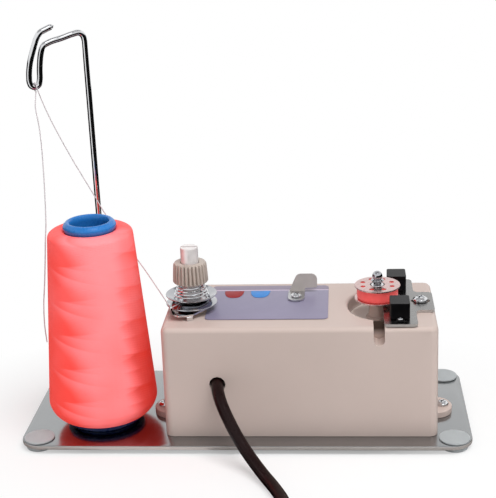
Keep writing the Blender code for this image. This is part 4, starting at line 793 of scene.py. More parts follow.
def smooth(obj, angle=35):
    """Shades smoothly across edges flatter than angle."""
    for polygon in obj.data.polygons:
        polygon.use_smooth = True
    obj.data.set_sharp_from_angle(angle=math.radians(angle))


def place_mesh(name, bm):
    """A new object from a bmesh, its faces outwards."""
    bmesh.ops.remove_doubles(bm, verts=bm.verts, dist=1e-7)
    bmesh.ops.recalc_face_normals(bm, faces=bm.faces)
    mesh = bpy.data.meshes.new(name)
    bm.to_mesh(mesh)
    bm.free()
    obj = bpy.data.objects.new(name, mesh)
    bpy.context.scene.collection.objects.link(obj)
    return obj


def fit(obj, finish_name, slot, *nodes, angle=35):
    """Gives a piece its finish, and puts it on its nodes' body in their place."""
    obj.data.materials.clear()
    obj.data.materials.append(finish(finish_name))
    if obj.type == "MESH":
        smooth(obj, angle)
    if "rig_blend" not in obj:
        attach(obj, frame["nodes"][nodes[0]]["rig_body"])
    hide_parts(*nodes)
    return obj


def in_mm(outline):
    """An outline written in millimetres, in metres."""
    return [[value * mm for value in corner] for corner in outline]


def eased(profile):
    """An outline whose corners with a third number are rounded by that radius."""
    parts = 5
    points = []
    last = len(profile) - 1
    for i, corner in enumerate(profile):
        here = Vector(corner[:2])
        if len(corner) < 3:
            points.append(here)
            continue
        before = Vector(profile[i - 1 if i else last][:2]) - here
        after = Vector(profile[i + 1 if i < last else 0][:2]) - here
        reach = min(corner[2], before.length * 0.49, after.length * 0.49)
        one = here + before.normalized() * reach
        two = here + after.normalized() * reach
        for k in range(parts + 1):
            t = k / parts
            points.append(one.lerp(here, t).lerp(here.lerp(two, t), t))
    return points


def turned(bm, profile, centre, closed=True, steps=None):
    """Turns an outline of (radius, height) pairs round the upright line through centre."""
    centre = Vector(centre)
    verts = [bm.verts.new(centre + Vector((point.x, 0, point.y))) for point in eased(profile)]
    pairs = list(zip(verts, verts[1:]))
    if closed:
        pairs.append((verts[-1], verts[0]))
    edges = [bm.edges.new(pair) for pair in pairs]
    bmesh.ops.spin(
        bm,
        geom=verts + edges,
        cent=centre,
        axis=(0, 0, 1),
        angle=math.tau,
        steps=steps or sizes().turn_steps,
        use_merge=True,
    )
    bmesh.ops.remove_doubles(bm, verts=bm.verts, dist=1e-7)


def turned_piece(name, profile, centre, closed=True, steps=None):
    """One turned piece."""
    bm = bmesh.new()
    turned(bm, profile, centre, closed, steps)
    return place_mesh(name, bm)


def slab(bm, low, high, corner=0.0, edge=0.0):
    """A block from low to high with rounded upright corners and eased edges."""
    low, high = Vector(low), Vector(high)
    made = bmesh.ops.create_cube(bm, size=1)["verts"]
    bmesh.ops.scale(bm, vec=high - low, verts=made)
    bmesh.ops.translate(bm, vec=(low + high) / 2, verts=made)
    if corner:
        upright = [e for e in bm.edges if abs((e.verts[0].co - e.verts[1].co).normalized().z) > 0.9]
        bmesh.ops.bevel(
            bm, geom=upright, offset=corner, segments=12, profile=0.5, affect="EDGES", material=-1
        )
    if edge:
        bmesh.ops.recalc_face_normals(bm, faces=bm.faces)
        sharp = [e for e in bm.edges if len(e.link_faces) == 2 and e.calc_face_angle() > 1]
        bmesh.ops.bevel(
            bm, geom=sharp, offset=edge, segments=3, profile=0.5, affect="EDGES", material=-1
        )


def slab_piece(name, low, high, corner=0.0, edge=0.0):
    """One block as a piece."""
    bm = bmesh.new()
    slab(bm, low, high, corner, edge)
    return place_mesh(name, bm)


def turned_slab(name, low, high, axis, degrees):
    """A block from low to high, turned with its place onto an upright axis."""
    bm = bmesh.new()
    slab(bm, low, high)
    way = Matrix.Translation(axis) @ Matrix.Rotation(math.radians(degrees), 4, "Z")
    bmesh.ops.transform(bm, matrix=way, verts=bm.verts)
    return place_mesh(name, bm)


def carve(obj, *tools):
    """Cuts the tools out of a piece for good."""
    for tool in tools:
        cutter = obj.modifiers.new("carve", "BOOLEAN")
        cutter.operation = "DIFFERENCE"
        cutter.solver = "EXACT"
        cutter.object = tool
    graph = bpy.context.evaluated_depsgraph_get()
    carved = bpy.data.meshes.new_from_object(obj.evaluated_get(graph))
    obj.modifiers.clear()
    obj.data = carved
    for tool in tools:
        bpy.data.objects.remove(tool)
    return obj


def refined(node, name, edge):
    """A merged copy of a CAD node whose hard edges are eased by edge."""
    bm = bmesh.new()
    bm.from_mesh(frame["nodes"][node].data)
    bmesh.ops.remove_doubles(bm, verts=bm.verts, dist=2e-6)
    bmesh.ops.dissolve_limit(bm, angle_limit=math.radians(0.6), verts=bm.verts, edges=bm.edges)
    obj = place_mesh(name, bm)
    bevel = obj.modifiers.new("edge", "BEVEL")
    bevel.width = edge
    bevel.segments = 3
    bevel.limit_method = "ANGLE"
    bevel.angle_limit = math.radians(40)
    bevel.use_clamp_overlap = True
    even = obj.modifiers.new("even", "WEIGHTED_NORMAL")
    even.keep_sharp = True
    return obj


def second_finish(piece, name, chosen):
    """Another finish on the faces that chosen picks."""
    piece.data.materials.append(finish(name))
    for face in piece.data.polygons:
        if chosen(face):
            face.material_index = 1


def flow(points, step):
    """Points about step apart on a smooth curve through the given points."""
    places = [Vector(p) for p in points]
    spans = [(b - a).length for a, b in zip(places, places[1:])]
    slopes = [(b - a) / span for a, b, span in zip(places, places[1:], spans)]
    leans = [slopes[0]]
    for i in range(1, len(spans)):
        leans.append((slopes[i - 1] * spans[i] + slopes[i] * spans[i - 1]) / (spans[i - 1] + spans[i]))
    leans.append(slopes[-1])
    route = [places[0]]
    for i, span in enumerate(spans):
        parts = max(1, round(span / step))
        for k in range(1, parts + 1):
            t = k / parts
            ends = places[i].lerp(places[i + 1], t * t * (3 - 2 * t))
            leaving = leans[i] * span * t * (1 - t) ** 2
            arriving = leans[i + 1] * span * t * t * (1 - t)
            route.append(ends + leaving - arriving)
    return route


def wire(name, points, radius, sides=5, round_end=0.0):
    """A round wire along points, its last end rounded off over round_end."""
    curve = bpy.data.curves.new(name, "CURVE")
    curve.dimensions = "3D"
    curve.bevel_depth = radius
    curve.bevel_resolution = sides
    curve.use_fill_caps = True
    points = [Vector(p) for p in points]
    widths = [1.0] * len(points)
    if round_end:
        tip = points.pop()
        along = (tip - points[-1]).normalized()
        points += [tip - along * round_end * back for back in (1.0, 0.3, 0.0)]
        widths += [0.8, 0.45]
    spline = curve.splines.new("POLY")
    spline.points.add(len(points) - 1)
    for target, point, width in zip(spline.points, points, widths):
        target.co = (*point, 1)
        target.radius = width
    spline.use_smooth = True
    obj = bpy.data.objects.new(name, curve)
    bpy.context.scene.collection.objects.link(obj)
    return obj


def as_mesh(obj):
    """The same wire as a mesh piece."""
    graph = bpy.context.evaluated_depsgraph_get()
    mesh = bpy.data.meshes.new_from_object(obj.evaluated_get(graph))
    name = obj.name
    bpy.data.objects.remove(obj)
    made = bpy.data.objects.new(name, mesh)
    bpy.context.scene.collection.objects.link(made)
    return made


def pan_screw(name, centre, seat, radius, height, shank, end, turn):
    """A domed screw with a cross recess: a head of radius and height on seat, a shank down to end."""
    head = [
        (0, end),
        (shank, end),
        (shank, seat),
        (radius, seat, height * 0.12),
        (radius, seat + height * 0.45, height * 0.4),
        (radius * 0.62, seat + height * 0.92, height * 0.3),
        (0, seat + height),
    ]
    piece = turned_piece(name, head, (*centre, 0), closed=False, steps=48)
    low = (-radius * 0.6, -radius * 0.13, seat + height * 0.42)
    high = (radius * 0.6, radius * 0.13, seat + height * 1.4)
    tools = []
    for quarter in (0, 90):
        tools.append(turned_slab(f"{name}_cross_{quarter}", low, high, (*centre, 0), turn + quarter))
    return carve(piece, *tools)


# Pieces


def dress_lead():
    """The mains lead from the case's wall through its coil to the plug."""
    inner = (-11.3 * mm, -13.3 * mm, 30.5 * mm)
    wall = (-11.3 * mm, -26.3 * mm, 30.5 * mm)
    # The run down to the floor, in millimetres
    outside = (
        (-11.3, -31.3, 30.4),
        (-10.5, -36.8, 29.1),
        (-8.5, -41.9, 25.6),
        (-5.4, -46.4, 20.6),
        (-1.6, -50.7, 15.0),
        (2.6, -55.2, 10.0),
        (7, -60.4, 6.2),
        (11.4, -66.6, 3.7),
        (15.6, -74, 2.85),
        (19.6, -84, 3.1),
        (22.6, -97, 3.6),
        (23.8, -110, 3.6),
        (24, -124, 3.6),
    )
    radius = sizes().lead_radius
    # The coil runs inwards for half its turns, climbs onto itself and runs out again
    turns = 6.25
    pitch = 6.2 * mm
    mean = 33.2 * mm
    steps_a_turn = 48
    outer = mean + pitch * turns / 4
    low = radius + 0.8 * mm
    centre = Vector((outside[-1][0] * mm - outer, -145 * mm, 0))
    coil = []
    count = int(turns * steps_a_turn)
    for i in range(count + 1):
        turned_by = turns * i / count
        reach = outer - pitch * (turns / 2 - abs(turns / 2 - turned_by))
        climb = min(1, max(0, (turned_by - turns / 2 + 0.25) / 0.5))
        rise = pitch * climb * climb * (3 - 2 * climb)
        a = -math.tau * turned_by
        coil.append(centre + Vector((reach * math.cos(a), reach * math.sin(a), low + rise)))
    lead_in = coil[0] + Vector((0, 2 * radius, 0))
    run = flow([inner, wall, *in_mm(outside), lead_in + Vector((0, radius, 0))], 3 * mm)
    lead_out = coil[-1] - Vector((2 * radius, 0, 0))
    # The sleeve ends in the plug's neck
    plug_end = Vector((coil[-1].x - 36.3 * mm, coil[-1].y, 6.85 * mm))
    tail = flow([lead_out, plug_end + Vector((2 * radius, 0, 0)), plug_end], 3 * mm)
    lead = wire("pvc_lead_run", [*run, lead_in, *coil, *tail], radius, sides=4)
    fit(lead, "lead", "black_cable", "mains_lead", "lead_coil", "lead_tail")
    tie = fit(refined("lead_tie", "coil_band", 0.12 * mm), "black", "black_plastic", "lead_tie")
    plug = fit(refined("plug", "moulded_plug", 0.5 * mm), "lead", "black_plastic", "plug")
    for number in (1, 2):
        node = f"plug_pin_{number}"
        fit(refined(node, f"turned_pin_{number}", 0.1 * mm), "steel", "zinc_steel", node)


def sheared_edge(piece):
    """The matt finish on the upright faces of a cut sheet."""
    second_finish(piece, "matt", lambda face: abs(face.normal.z) < 0.5)


def dress_base():
    """The plate with its eased edge, and the four clear feet."""
    low = (-103.5 * mm, -41 * mm, plate_bottom)
    high = (103.5 * mm, 41 * mm, plate_top)
    plate = slab_piece("sheet_plate", low, high, sizes().plate_corner, sizes().plate_edge)
    fit(plate, "zinc", "zinc_steel", "base_plate")
    sheared_edge(plate)
    profile = [
        (0, 0.25),
        (3.6, 0.25, 0.2),
        (4.4, 0, 0.2),
        (6.2, 0, 0.7),
        (6.2, 2.1, 0.3),
        (3, 2.1),
        (3, 4.3),
        (7, 4.3, 0.1),
        (7, 5.05, 0.5),
        (4.6, 5.2, 1),
        (0, 5.15),
    ]
    for side, x in (("left", -95.3 * mm), ("right", 95.3 * mm)):
        for end, y in (("front", -33 * mm), ("rear", 33 * mm)):
            name = f"clear_foot_{end}_{side}"
            foot = turned_piece(name, in_mm(profile), (x, y, 0), closed=False, steps=64)
            fit(foot, "rubber", "clear_rubber", f"foot_{end}_{side}")


def dress_case():
    """The moulded case and its two ear screws."""
    case = refined("case_shell", "moulded_case", 0.3 * mm)
    fit(case, "beige", "beige_plastic", "case_shell", angle=50)

    def in_dish(face):
        """Whether a face lies on the dish's floor."""
        near = (face.center - spindle_axis).xy.length < 19 * mm
        return near and face.normal.z > 0.9 and abs(face.center.z - dish_floor) < 0.2 * mm

    # Painted light: the dish's floor is painted paler than the case, for light that falls on it
    second_finish(case, "dish", in_dish)
    # A sheet of painted shade stands at the dish's rim, across the slot, where the slot's inside lies in
    # shadow
    low = (spindle_axis.x - 2.45 * mm, -23.0 * mm, 48.9 * mm)
    high = (spindle_axis.x + 2.45 * mm, -22.7 * mm, 57.4 * mm)
    shade = slab_piece("slot_shade", low, high, edge=0.05 * mm)
    fit(shade, "shade", "beige_plastic", "case_shell")
    for side, x, turn in (("left", -40.4 * mm, 15), ("right", 92 * mm, 55)):
        screw = pan_screw(
            f"ear_screw_{side}", (x, -5 * mm), 7.5 * mm, 2.9 * mm, 1.8 * mm, 1.6 * mm, 2.4 * mm, turn
        )
        fit(screw, "chrome", "zinc_steel", f"case_screw_{side}")


def key_shape(name, x, grow, low, high, edge=0.0):
    """A half-ellipse with its straight side at the back, raised from low to high."""
    back = key_back + grow
    bm = bmesh.new()
    bmesh.ops.create_circle(bm, cap_ends=True, segments=64, radius=1)
    # A power under 1 makes the shoulders fuller
    for vert in bm.verts:
        vert.co.x = math.copysign(abs(vert.co.x) ** 0.7, vert.co.x)
    bmesh.ops.scale(bm, vec=(4.6 * mm + grow, key_depth + grow, 1), verts=bm.verts)
    bmesh.ops.translate(bm, vec=(x, back, low), verts=bm.verts)
    parts = bm.verts[:] + bm.edges[:] + bm.faces[:]
    bmesh.ops.bisect_plane(
        bm, geom=parts, dist=1e-7, plane_co=(0, back, 0), plane_no=(0, 1, 0), clear_outer=True
    )
    raised = bmesh.ops.extrude_face_region(bm, geom=bm.faces[:])["geom"]
    top = [v for v in raised if isinstance(v, bmesh.types.BMVert)]
    bmesh.ops.translate(bm, vec=(0, 0, high - low), verts=top)
    bmesh.ops.recalc_face_normals(bm, faces=bm.faces)
    if edge:
        rim = [e for e in bm.edges if all(v.co.z > high - 1e-6 for v in e.verts)]
        bmesh.ops.bevel(bm, geom=rim, offset=edge, segments=3, profile=0.5, affect="EDGES", material=-1)
    return place_mesh(name, bm)


def dress_panel():
    """The printed film and the two keys."""
    low = (-17 * mm, -21 * mm, 57.75 * mm)
    high = (39 * mm, 21.5 * mm, 58.05 * mm)
    film = slab_piece("printed_label", low, high, 2.4 * mm, 0.08 * mm)
    carve(film, *[key_shape("key_way", x, 0.1 * mm, 50 * mm, 60 * mm) for x in key_places])
    fit(film, "film", "label_film", "label_plate")
    # The caps stay clear of the case when a key is pressed by 0.5 mm
    for node, x, colour in zip(("stop", "start"), key_places, ("red", "blue")):
        cap = key_shape(f"{colour}_key_cap", x, 0, 58.105 * mm, 58.2 * mm, 0.03 * mm)
        fit(cap, colour, f"{colour}_key", f"{node}_button")


def dress_cutter():
    """The thread cutter's blade holder and its screw."""
    blade = refined("thread_cutter", "cutter_blade", 0.18 * mm)
    fit(blade, "steel", "chrome_steel", "thread_cutter")
    second_finish(blade, "matt", lambda face: face.center.z > 59.4 * mm)
    screw = pan_screw(
        "cutter_head", (23.9 * mm, 4.6 * mm), 59.15 * mm, 2.5 * mm, 1.5 * mm, 1.3 * mm, 55 * mm, 33
    )
    fit(screw, "chrome", "chrome_steel", "cutter_screw")


def tension_discs():
    """Two pressed and polished discs, one rim down and one rim up."""
    for node, flat, way in (("lower_disc", 62.8 * mm, -1), ("upper_disc", 64.1 * mm, 1)):
        rise = 1.5 * mm * way
        sheet = 0.5 * mm
        # Radii in millimetres, and the share of the rise at each
        curve = ((7.4, 0.0), (8.6, 0.1), (9.8, 0.36), (10.9, 0.74), (11.8, 1.0))
        low = [(stud_bore, flat)] + [(r * mm, flat + rise * up) for r, up in curve]
        high = [(r * mm, flat + sheet + rise * up) for r, up in curve][::-1]
        low[-1] = (*low[-1], 0.22 * mm)
        high[0] = (*high[0], 0.22 * mm)
        disc = turned_piece(f"polished_{node}", low + high + [(stud_bore, flat + sheet)], tension_axis)
        fit(disc, "polished", "chrome_steel", node, angle=50)


def ribbed_nut():
    """The moulded nut: every rib is one wave of its outline."""
    points_a_rib = 12
    count = sizes().rib_count * points_a_rib
    depth = sizes().rib_depth
    # Each level is a radius and a height in millimetres, and the share of the ribs' depth
    levels = (
        (7.1, 71.8, 0.0),
        (7.6, 71.75, 0.7),
        (8.15, 72.3, 1.0),
        (7.98, 75.8, 1.0),
        (7.7, 79.7, 1.0),
        (7.55, 80.5, 0.6),
        (7.2, 81.1, 0.1),
        (6.8, 81.3, 0.0),
        (4.5, 81.3, 0.0),
        (4.35, 81.15, 0.0),
        (4.35, 72.45, 0.0),
        (7.1, 72.45, 0.0),
    )
    bm = bmesh.new()
    rings = []
    for radius, height, wave in levels:
        ring = []
        for i in range(count):
            rib = 0.5 - 0.5 * math.cos(math.tau * i / points_a_rib)
            reach = radius * mm - depth * wave * rib**3
            a = math.tau * i / count
            spot = Vector((reach * math.cos(a), reach * math.sin(a), height * mm))
            ring.append(bm.verts.new(tension_axis + spot))
        rings.append(ring)
    for lower, upper in zip(rings, rings[1:] + rings[:1]):
        for i in range(count):
            bm.faces.new((lower[i - 1], lower[i], upper[i], upper[i - 1]))
    return place_mesh("ribbed_nut", bm)


def cone_spring():
    """The spring, which narrows upwards and follows the washer."""
    foot = 65.2 * mm
    rise = 5.7 * mm
    turns = 4.5
    count = 270
    points = []
    for i in range(count + 1):
        share = i / count
        a = math.tau * turns * share
        reach = (7.9 - 2.2 * share) * mm
        spot = Vector((reach * math.cos(a), reach * math.sin(a), foot + rise * share))
        points.append(tension_axis + spot)
    spring = as_mesh(wire("cone_spring", points, sizes().spring_wire, sides=3))
    x, y = tension_axis.xy
    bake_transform(spring, "base", "washer_unit", (x, y, 65.2 * mm), (x, y, 70.9 * mm))
    fit(spring, "chrome", "chrome_steel", "tension_spring")


def dress_tension():
    """Everything on the tension stud."""
    stud = [(0, 48.2), (4.05, 48.2), (4.05, 88.6, 0.5), (0, 88.6)]
    stud = turned_piece("slotted_stud", in_mm(stud), tension_axis, closed=False)
    slot = turned_slab(
        "stud_way", (-8 * mm, -0.55 * mm, 87.4 * mm), (8 * mm, 0.55 * mm, 92 * mm), tension_axis, 0
    )
    fit(carve(stud, slot), "alloy", "zinc_steel", "tension_stud")
    rings = (
        ("tension_bush", "moulded_bush", 6.6, 57.75, 59.55, "beige", "beige_plastic"),
        ("tension_spacer", "black_spacer", 6.4, 60.65, 62.65, "black", "black_plastic"),
        ("spring_washer", "bright_washer", 6.9, 71.5, 72.3, "chrome", "chrome_steel"),
    )
    for node, name, radius, low, high, look, slot_name in rings:
        profile = [(4.35, low), (radius, low, 0.2), (radius, high, 0.2), (4.35, high, 0.2)]
        fit(turned_piece(name, in_mm(profile), tension_axis), look, slot_name, node)
    guide = refined("thread_guide", "pressed_guide", 0.15 * mm)
    guide.data.transform(
        Matrix.Translation(tension_axis)
        @ Matrix.Rotation(guide_turn, 4, "Z")
        @ Matrix.Translation(-tension_axis)
    )
    fit(guide, "chrome", "chrome_steel", "thread_guide")
    tension_discs()
    cone_spring()
    fit(ribbed_nut(), "nut", "beige_plastic", "tension_nut")
    fit(refined("stud_nut", "under_nut", 0.2 * mm), "steel", "zinc_steel", "stud_nut")


def stand_place(reach, height):
    """A point in the stand's upright plane, in millimetres from its foot on the plate."""
    x = -73.1 * mm - reach * mm * math.sin(stand_turn)
    y = 32 * mm - reach * mm * math.cos(stand_turn)
    return Vector((x, y, plate_top + height * mm))


def dress_stand():
    """The bent chrome wire and its nuts."""
    # Reach and height in the stand's plane, in millimetres
    bends = (
        (0, 172.8),
        (0.35, 174.9),
        (1.4, 176.5),
        (3, 177.15),
        (5.2, 176.9),
        (11.5, 175.55),
        (18, 174.2),
        (20.8, 172.9),
        (21.9, 170.4),
        (22.8, 166.6),
        (23.4, 162.4),
        (23.9, 157.4),
        (24.6, 155.4),
        (26.35, 154.65),
        (28.1, 155.4),
        (28.8, 157.3),
        (28.8, 160),
        (28.3, 163.6),
        (27.3, 167.4),
        (25.8, 171.4),
        (24.4, 174.8),
        (23.1, 177.5),
        (21.6, 179.2),
        (19.2, 180.2),
        (15.4, 181.5),
    )
    route = flow([stand_place(*bend) for bend in bends], 0.5 * mm)
    points = [stand_place(0, -3.7), *route]
    stand = wire("bent_wire", points, sizes().wire_radius, sides=6, round_end=0.8 * mm)
    fit(stand, "chrome", "chrome_steel", "thread_stand")
    for end in ("upper", "lower"):
        node = f"stand_nut_{end}"
        fit(refined(node, f"hex_nut_{end}", 0.2 * mm), "steel", "zinc_steel", node)


def dress_cone():
    """The blue core, the cross-wound package and the post under them."""

    def core_radius(height):
        """The core's outer radius, in millimetres."""
        return 18.3 - 7.3 * height / 99

    core = [
        (15.3, 2.3, 0.5),
        (18.2, 2.3, 0.5),
        (core_radius(94.6), 94.6),
        (11.9, 95.4, 0.7),
        (12.2, 97.2, 1.6),
        (10.6, 99.0, 1.4),
        (9.2, 99.0, 1.0),
        (8.5, 97.0, 1.2),
    ]
    inner = turned_piece("blue_core", in_mm(core), cone_axis)
    fit(inner, "core", "blue_core", "cone_core", angle=60)
    package = [
        (core_radius(4.4) + 0.3, 4.4),
        (19.4, 4.4, 0.6),
        (22.2, 5.9, 1.2),
        (24.3, 8.4, 1.4),
        (25.4, 11.4, 1.6),
        (25.4, 13.2, 1.4),
        (19.45, 91.9, 1.2),
        (19.2, 93.4, 0.9),
        (17.9, 94.5, 1.1),
        (14.8, 95.2, 1.4),
        (12.3, 95.0),
        (core_radius(94.6) + 0.3, 94.3),
    ]
    wound = turned_piece("cross_wound_package", in_mm(package), cone_axis, steps=160)
    fit(wound, "wound", "coral_thread", "thread_package", angle=70)
    # The post takes the core's finish, so painted shade makes its disc and stem as dark as the core's foot
    # and bore
    for node, name, look, slot_name in (
        ("spool_post", "spool_stem", "core", "black_plastic"),
        ("post_screw", "stem_screw", "steel", "zinc_steel"),
    ):
        fit(refined(node, name, 0.3 * mm), look, slot_name, node)


def dress_threads():
    """The strand from the package over the wire loop and on to the discs."""
    radius = sizes().thread_radius
    a = math.radians(193)
    rising = []
    # Heights above the plate, and how far the strand sways off the package, in millimetres
    for height, off in ((42, 0), (50, 0.9), (60, 1.2), (72, 0.6), (84, 0.2), (92, 0)):
        # The package narrows evenly upwards, and the strand lies just off it
        reach = (25.5 - 6.1 * (height - 12.5) / 80 + 0.7 + off) * mm
        x, y = cone_axis.x + reach * math.cos(a), cone_axis.y + reach * math.sin(a)
        rising.append((x, y, plate_top + height * mm))
    # From here on places in millimetres, with heights above the plate
    for x, y, z in (
        (-87.1, -17.3, 96),
        (-88.1, -9.3, 109.9),
        (-89.5, -2.1, 122.3),
        (-90.6, 2.7, 130.7),
        (-92.2, 7.5, 139),
        (-94.2, 12, 146.7),
    ):
        rising.append((x * mm, y * mm, plate_top + z * mm))
    across = Vector((math.cos(stand_turn), -math.sin(stand_turn), 0))
    middle = stand_place(26.35, 154.65)
    # From the middle of the loop's wire to the middle of the strand on it
    round_reach = 1.92 * mm

    def round_wire(degrees):
        """A point of the strand where it lies round the loop's wire."""
        b = math.radians(degrees)
        return middle + (across * math.cos(b) + Vector((0, 0, math.sin(b)))) * round_reach

    over = [round_wire(d) for d in range(290, 89, -10)]
    # Both runs stop a little short of each other at the top
    split = (over[-1] - over[-2]).normalized() * 0.1 * mm
    points = [*flow([*rising, over[0]], 3 * mm), *over[1:-1], over[-1] - split]
    up = as_mesh(wire("strand_to_loop", points, radius, sides=2))
    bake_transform(up, "base", "cone_unit", (0, 0, loop_top), (0, 0, 48 * mm))
    fit(up, "strand", "coral_thread", "thread_to_loop")
    falling = []
    for x, y, z in (
        (-91.4, 16.2, 146.7),
        (-81, 15, 123),
        (-70.5, 11, 105),
        (-63.7, 7.8, 94),
        (-56.6, 5.2, 85.8),
        (-51.6, 1.5, 78.1),
        (-45.5, -4, 71.6),
    ):
        falling.append((x * mm, y * mm, plate_top + z * mm))
    # The guide's eye turns with the guide
    eye = Vector((-36.16 * mm, -15.73 * mm, 63.18 * mm)) - tension_axis
    eye = tension_axis + Matrix.Rotation(guide_turn, 3, "Z") @ eye
    side = math.atan2(eye.y - tension_axis.y, eye.x - tension_axis.x)
    # The strand ends between the discs
    ends = []
    for reach in (8.2 * mm, 5.9 * mm):
        ends.append(tension_axis + Vector((reach * math.cos(side), reach * math.sin(side), 63.7 * mm)))
    over = [round_wire(d) for d in range(90, 0, -10)]
    route = flow([round_wire(0), *falling, eye], 3 * mm)
    down = wire("strand_to_discs", [over[0] + split, *over[1:], *route, *ends], radius, sides=2)
    fit(down, "strand", "coral_thread", "thread_to_discs")


def dress_sensor():
    """The slotted plate, the two sensor blocks and their screws."""
    plate = refined("sensor_bracket", "slotted_plate", 0.3 * mm)
    sheared_edge(fit(plate, "satin", "chrome_steel", "sensor_bracket"))
    screw = pan_screw(
        "plate_screw", (81.4 * mm, -2.4 * mm), 59.1 * mm, 3.5 * mm, 2.1 * mm, 1.5 * mm, 51 * mm, 62
    )
    fit(screw, "chrome", "chrome_steel", "bracket_screw")
    for node, y, turn in (("emitter", -27 * mm, 10), ("receiver", 22.2 * mm, 40)):
        block = refined(f"sensor_{node}", f"{node}_block", 0.35 * mm)
        fit(block, "black", "black_plastic", f"sensor_{node}")
        small = pan_screw(
            f"{node}_pin", (71.1 * mm, y), 59.85 * mm, 1.25 * mm, 0.8 * mm, 0.7 * mm, 57.8 * mm, turn
        )
        fit(small, "chrome", "chrome_steel", f"{node}_screw")


def dress_spindle():
    """The turned spindle and its sprung clip."""
    spindle = [
        (0, 10.2),
        (1.5, 10.2, 0.2),
        (1.5, 51.3),
        (5.2, 51.3, 0.2),
        (5.2, 51.9, 0.3),
        (4.0, 52.4, 0.5),
        (4.0, 59.3),
        (5.4, 59.3, 0.15),
        (5.4, 60.2, 0.15),
        (2.95, 60.2),
        (2.95, 67.4, 0.4),
        (0, 67.4),
    ]
    piece = turned_piece("turned_spindle", in_mm(spindle), spindle_axis, closed=False)
    fit(piece, "chrome", "chrome_steel", "spindle")

    def on_collar(face):
        """Whether a face lies on the moulded collar."""
        middle = face.center - spindle_axis
        return 51 * mm < middle.z < 59.25 * mm and middle.xy.length > 2 * mm

    second_finish(piece, "beige", on_collar)
    clip = [(0, 67.55), (1.9, 67.55, 0.1), (1.9, 68.5, 0.4), (3.2, 69.45, 0.25), (1.7, 70.25, 0.3)]
    # A ball's outline from the clip's neck up to its top
    ball_height = 71.43
    ball_radius = 2.35
    parts = 12
    for i in range(parts):
        a = math.radians(-26 + 116 * i / parts)
        clip.append((ball_radius * math.cos(a), ball_height + ball_radius * math.sin(a)))
    clip.append((0, ball_height + ball_radius))
    piece = turned_piece("sprung_clip", in_mm(clip), spindle_axis, closed=False, steps=64)
    low = (-5 * mm, -0.35 * mm, 67.9 * mm)
    high = (5 * mm, 0.35 * mm, 69.9 * mm)
    tools = [turned_slab(f"clip_way_{turn}", low, high, spindle_axis, turn) for turn in (45, 135)]
    fit(carve(piece, *tools), "polished", "chrome_steel", "spindle_clip", angle=50)


def dress_bobbin():
    """The bobbin with its flanges' holes, and the thread on it."""
    bobbin = [
        (3.35, 60.35, 0.15),
        (10.5, 60.35, 0.3),
        (10.5, 61.15, 0.3),
        (4.1, 61.15),
        (4.1, 66.55),
        (10.5, 66.55, 0.3),
        (10.5, 67.35, 0.3),
        (3.35, 67.35, 0.15),
    ]
    piece = turned_piece("stamped_bobbin", in_mm(bobbin), spindle_axis)
    holes = 8
    hole_circle = 7.2 * mm
    wall = in_mm([(0, 55), (1.15, 55), (1.15, 75), (0, 75)])
    tools = []
    for i in range(holes):
        a = math.tau * (i + 0.5) / holes
        spot = spindle_axis + Vector((hole_circle * math.cos(a), hole_circle * math.sin(a), 0))
        tools.append(turned_piece(f"flange_hole_{i}", wall, spot, closed=False, steps=24))
    fit(carve(piece, *tools), "bobbin", "chrome_steel", "bobbin")
    wound = [
        (4.4, 61.3, 0.1),
        (9.2, 61.3, 0.3),
        (9.5, 62.6, 0.8),
        (9.45, 65.1, 0.8),
        (9.15, 66.4, 0.3),
        (4.4, 66.4, 0.1),
    ]
    piece = turned_piece("level_wound_thread", in_mm(wound), spindle_axis)
    fit(piece, "level", "coral_thread", "bobbin_thread", angle=60)


def dress_inside():
    """Finishes for the pieces under the case, which keep their CAD shapes."""
    looks = {
        "motor_can": "steel",
        "motor_rotor": "copper",
        "motor_bearing": "steel",
        "motor_bracket": "zinc",
        "motor_screw_1": "steel",
        "motor_screw_2": "steel",
        "control_board": "board",
        "key_board": "board",
        "power_block": "steel",
        "lead_clamp": "black",
    }
    for node, look in looks.items():
        data = frame["nodes"][node].data
        data.materials.clear()
        data.materials.append(finish(look))


# Studio


def studio_camera(settings):
    """The camera at the picture's angle."""
    turn, tilt, roll = settings.camera_turn
    ahead = Vector((-math.sin(turn) * math.cos(tilt), math.cos(turn) * math.cos(tilt), -math.sin(tilt)))
    right = Vector((math.cos(turn), math.sin(turn), 0))
    above = right.cross(ahead)
    level = right * math.cos(roll) + above * math.sin(roll)
    upward = above * math.cos(roll) - right * math.sin(roll)
    lens = bpy.data.cameras.new("camera")
    lens.sensor_fit = "HORIZONTAL"
    lens.sensor_width = 36
    lens.lens = settings.camera_lens
    lens.clip_start = 0.01
    camera = bpy.data.objects.new("camera", lens)
    bpy.context.scene.collection.objects.link(camera)
    way = Matrix((level, upward, -ahead)).transposed().to_4x4()
    camera.matrix_world = Matrix.Translation(settings.camera_place) @ way
    bpy.context.scene.camera = camera


def soft_lamp(name, place, width, height, power):
    """A soft panel of light aimed at the winder, which doesn't show in reflections."""
    lamp = bpy.data.lights.new(name, "AREA")
    lamp.shape = "RECTANGLE"
    lamp.size = width
    lamp.size_y = height
    lamp.energy = power
    obj = bpy.data.objects.new(name, lamp)
    obj.location = place
    obj.rotation_euler = (lamp_aim - Vector(place)).to_track_quat("-Z", "Y").to_euler()
    obj.visible_glossy = False
    bpy.context.scene.collection.objects.link(obj)


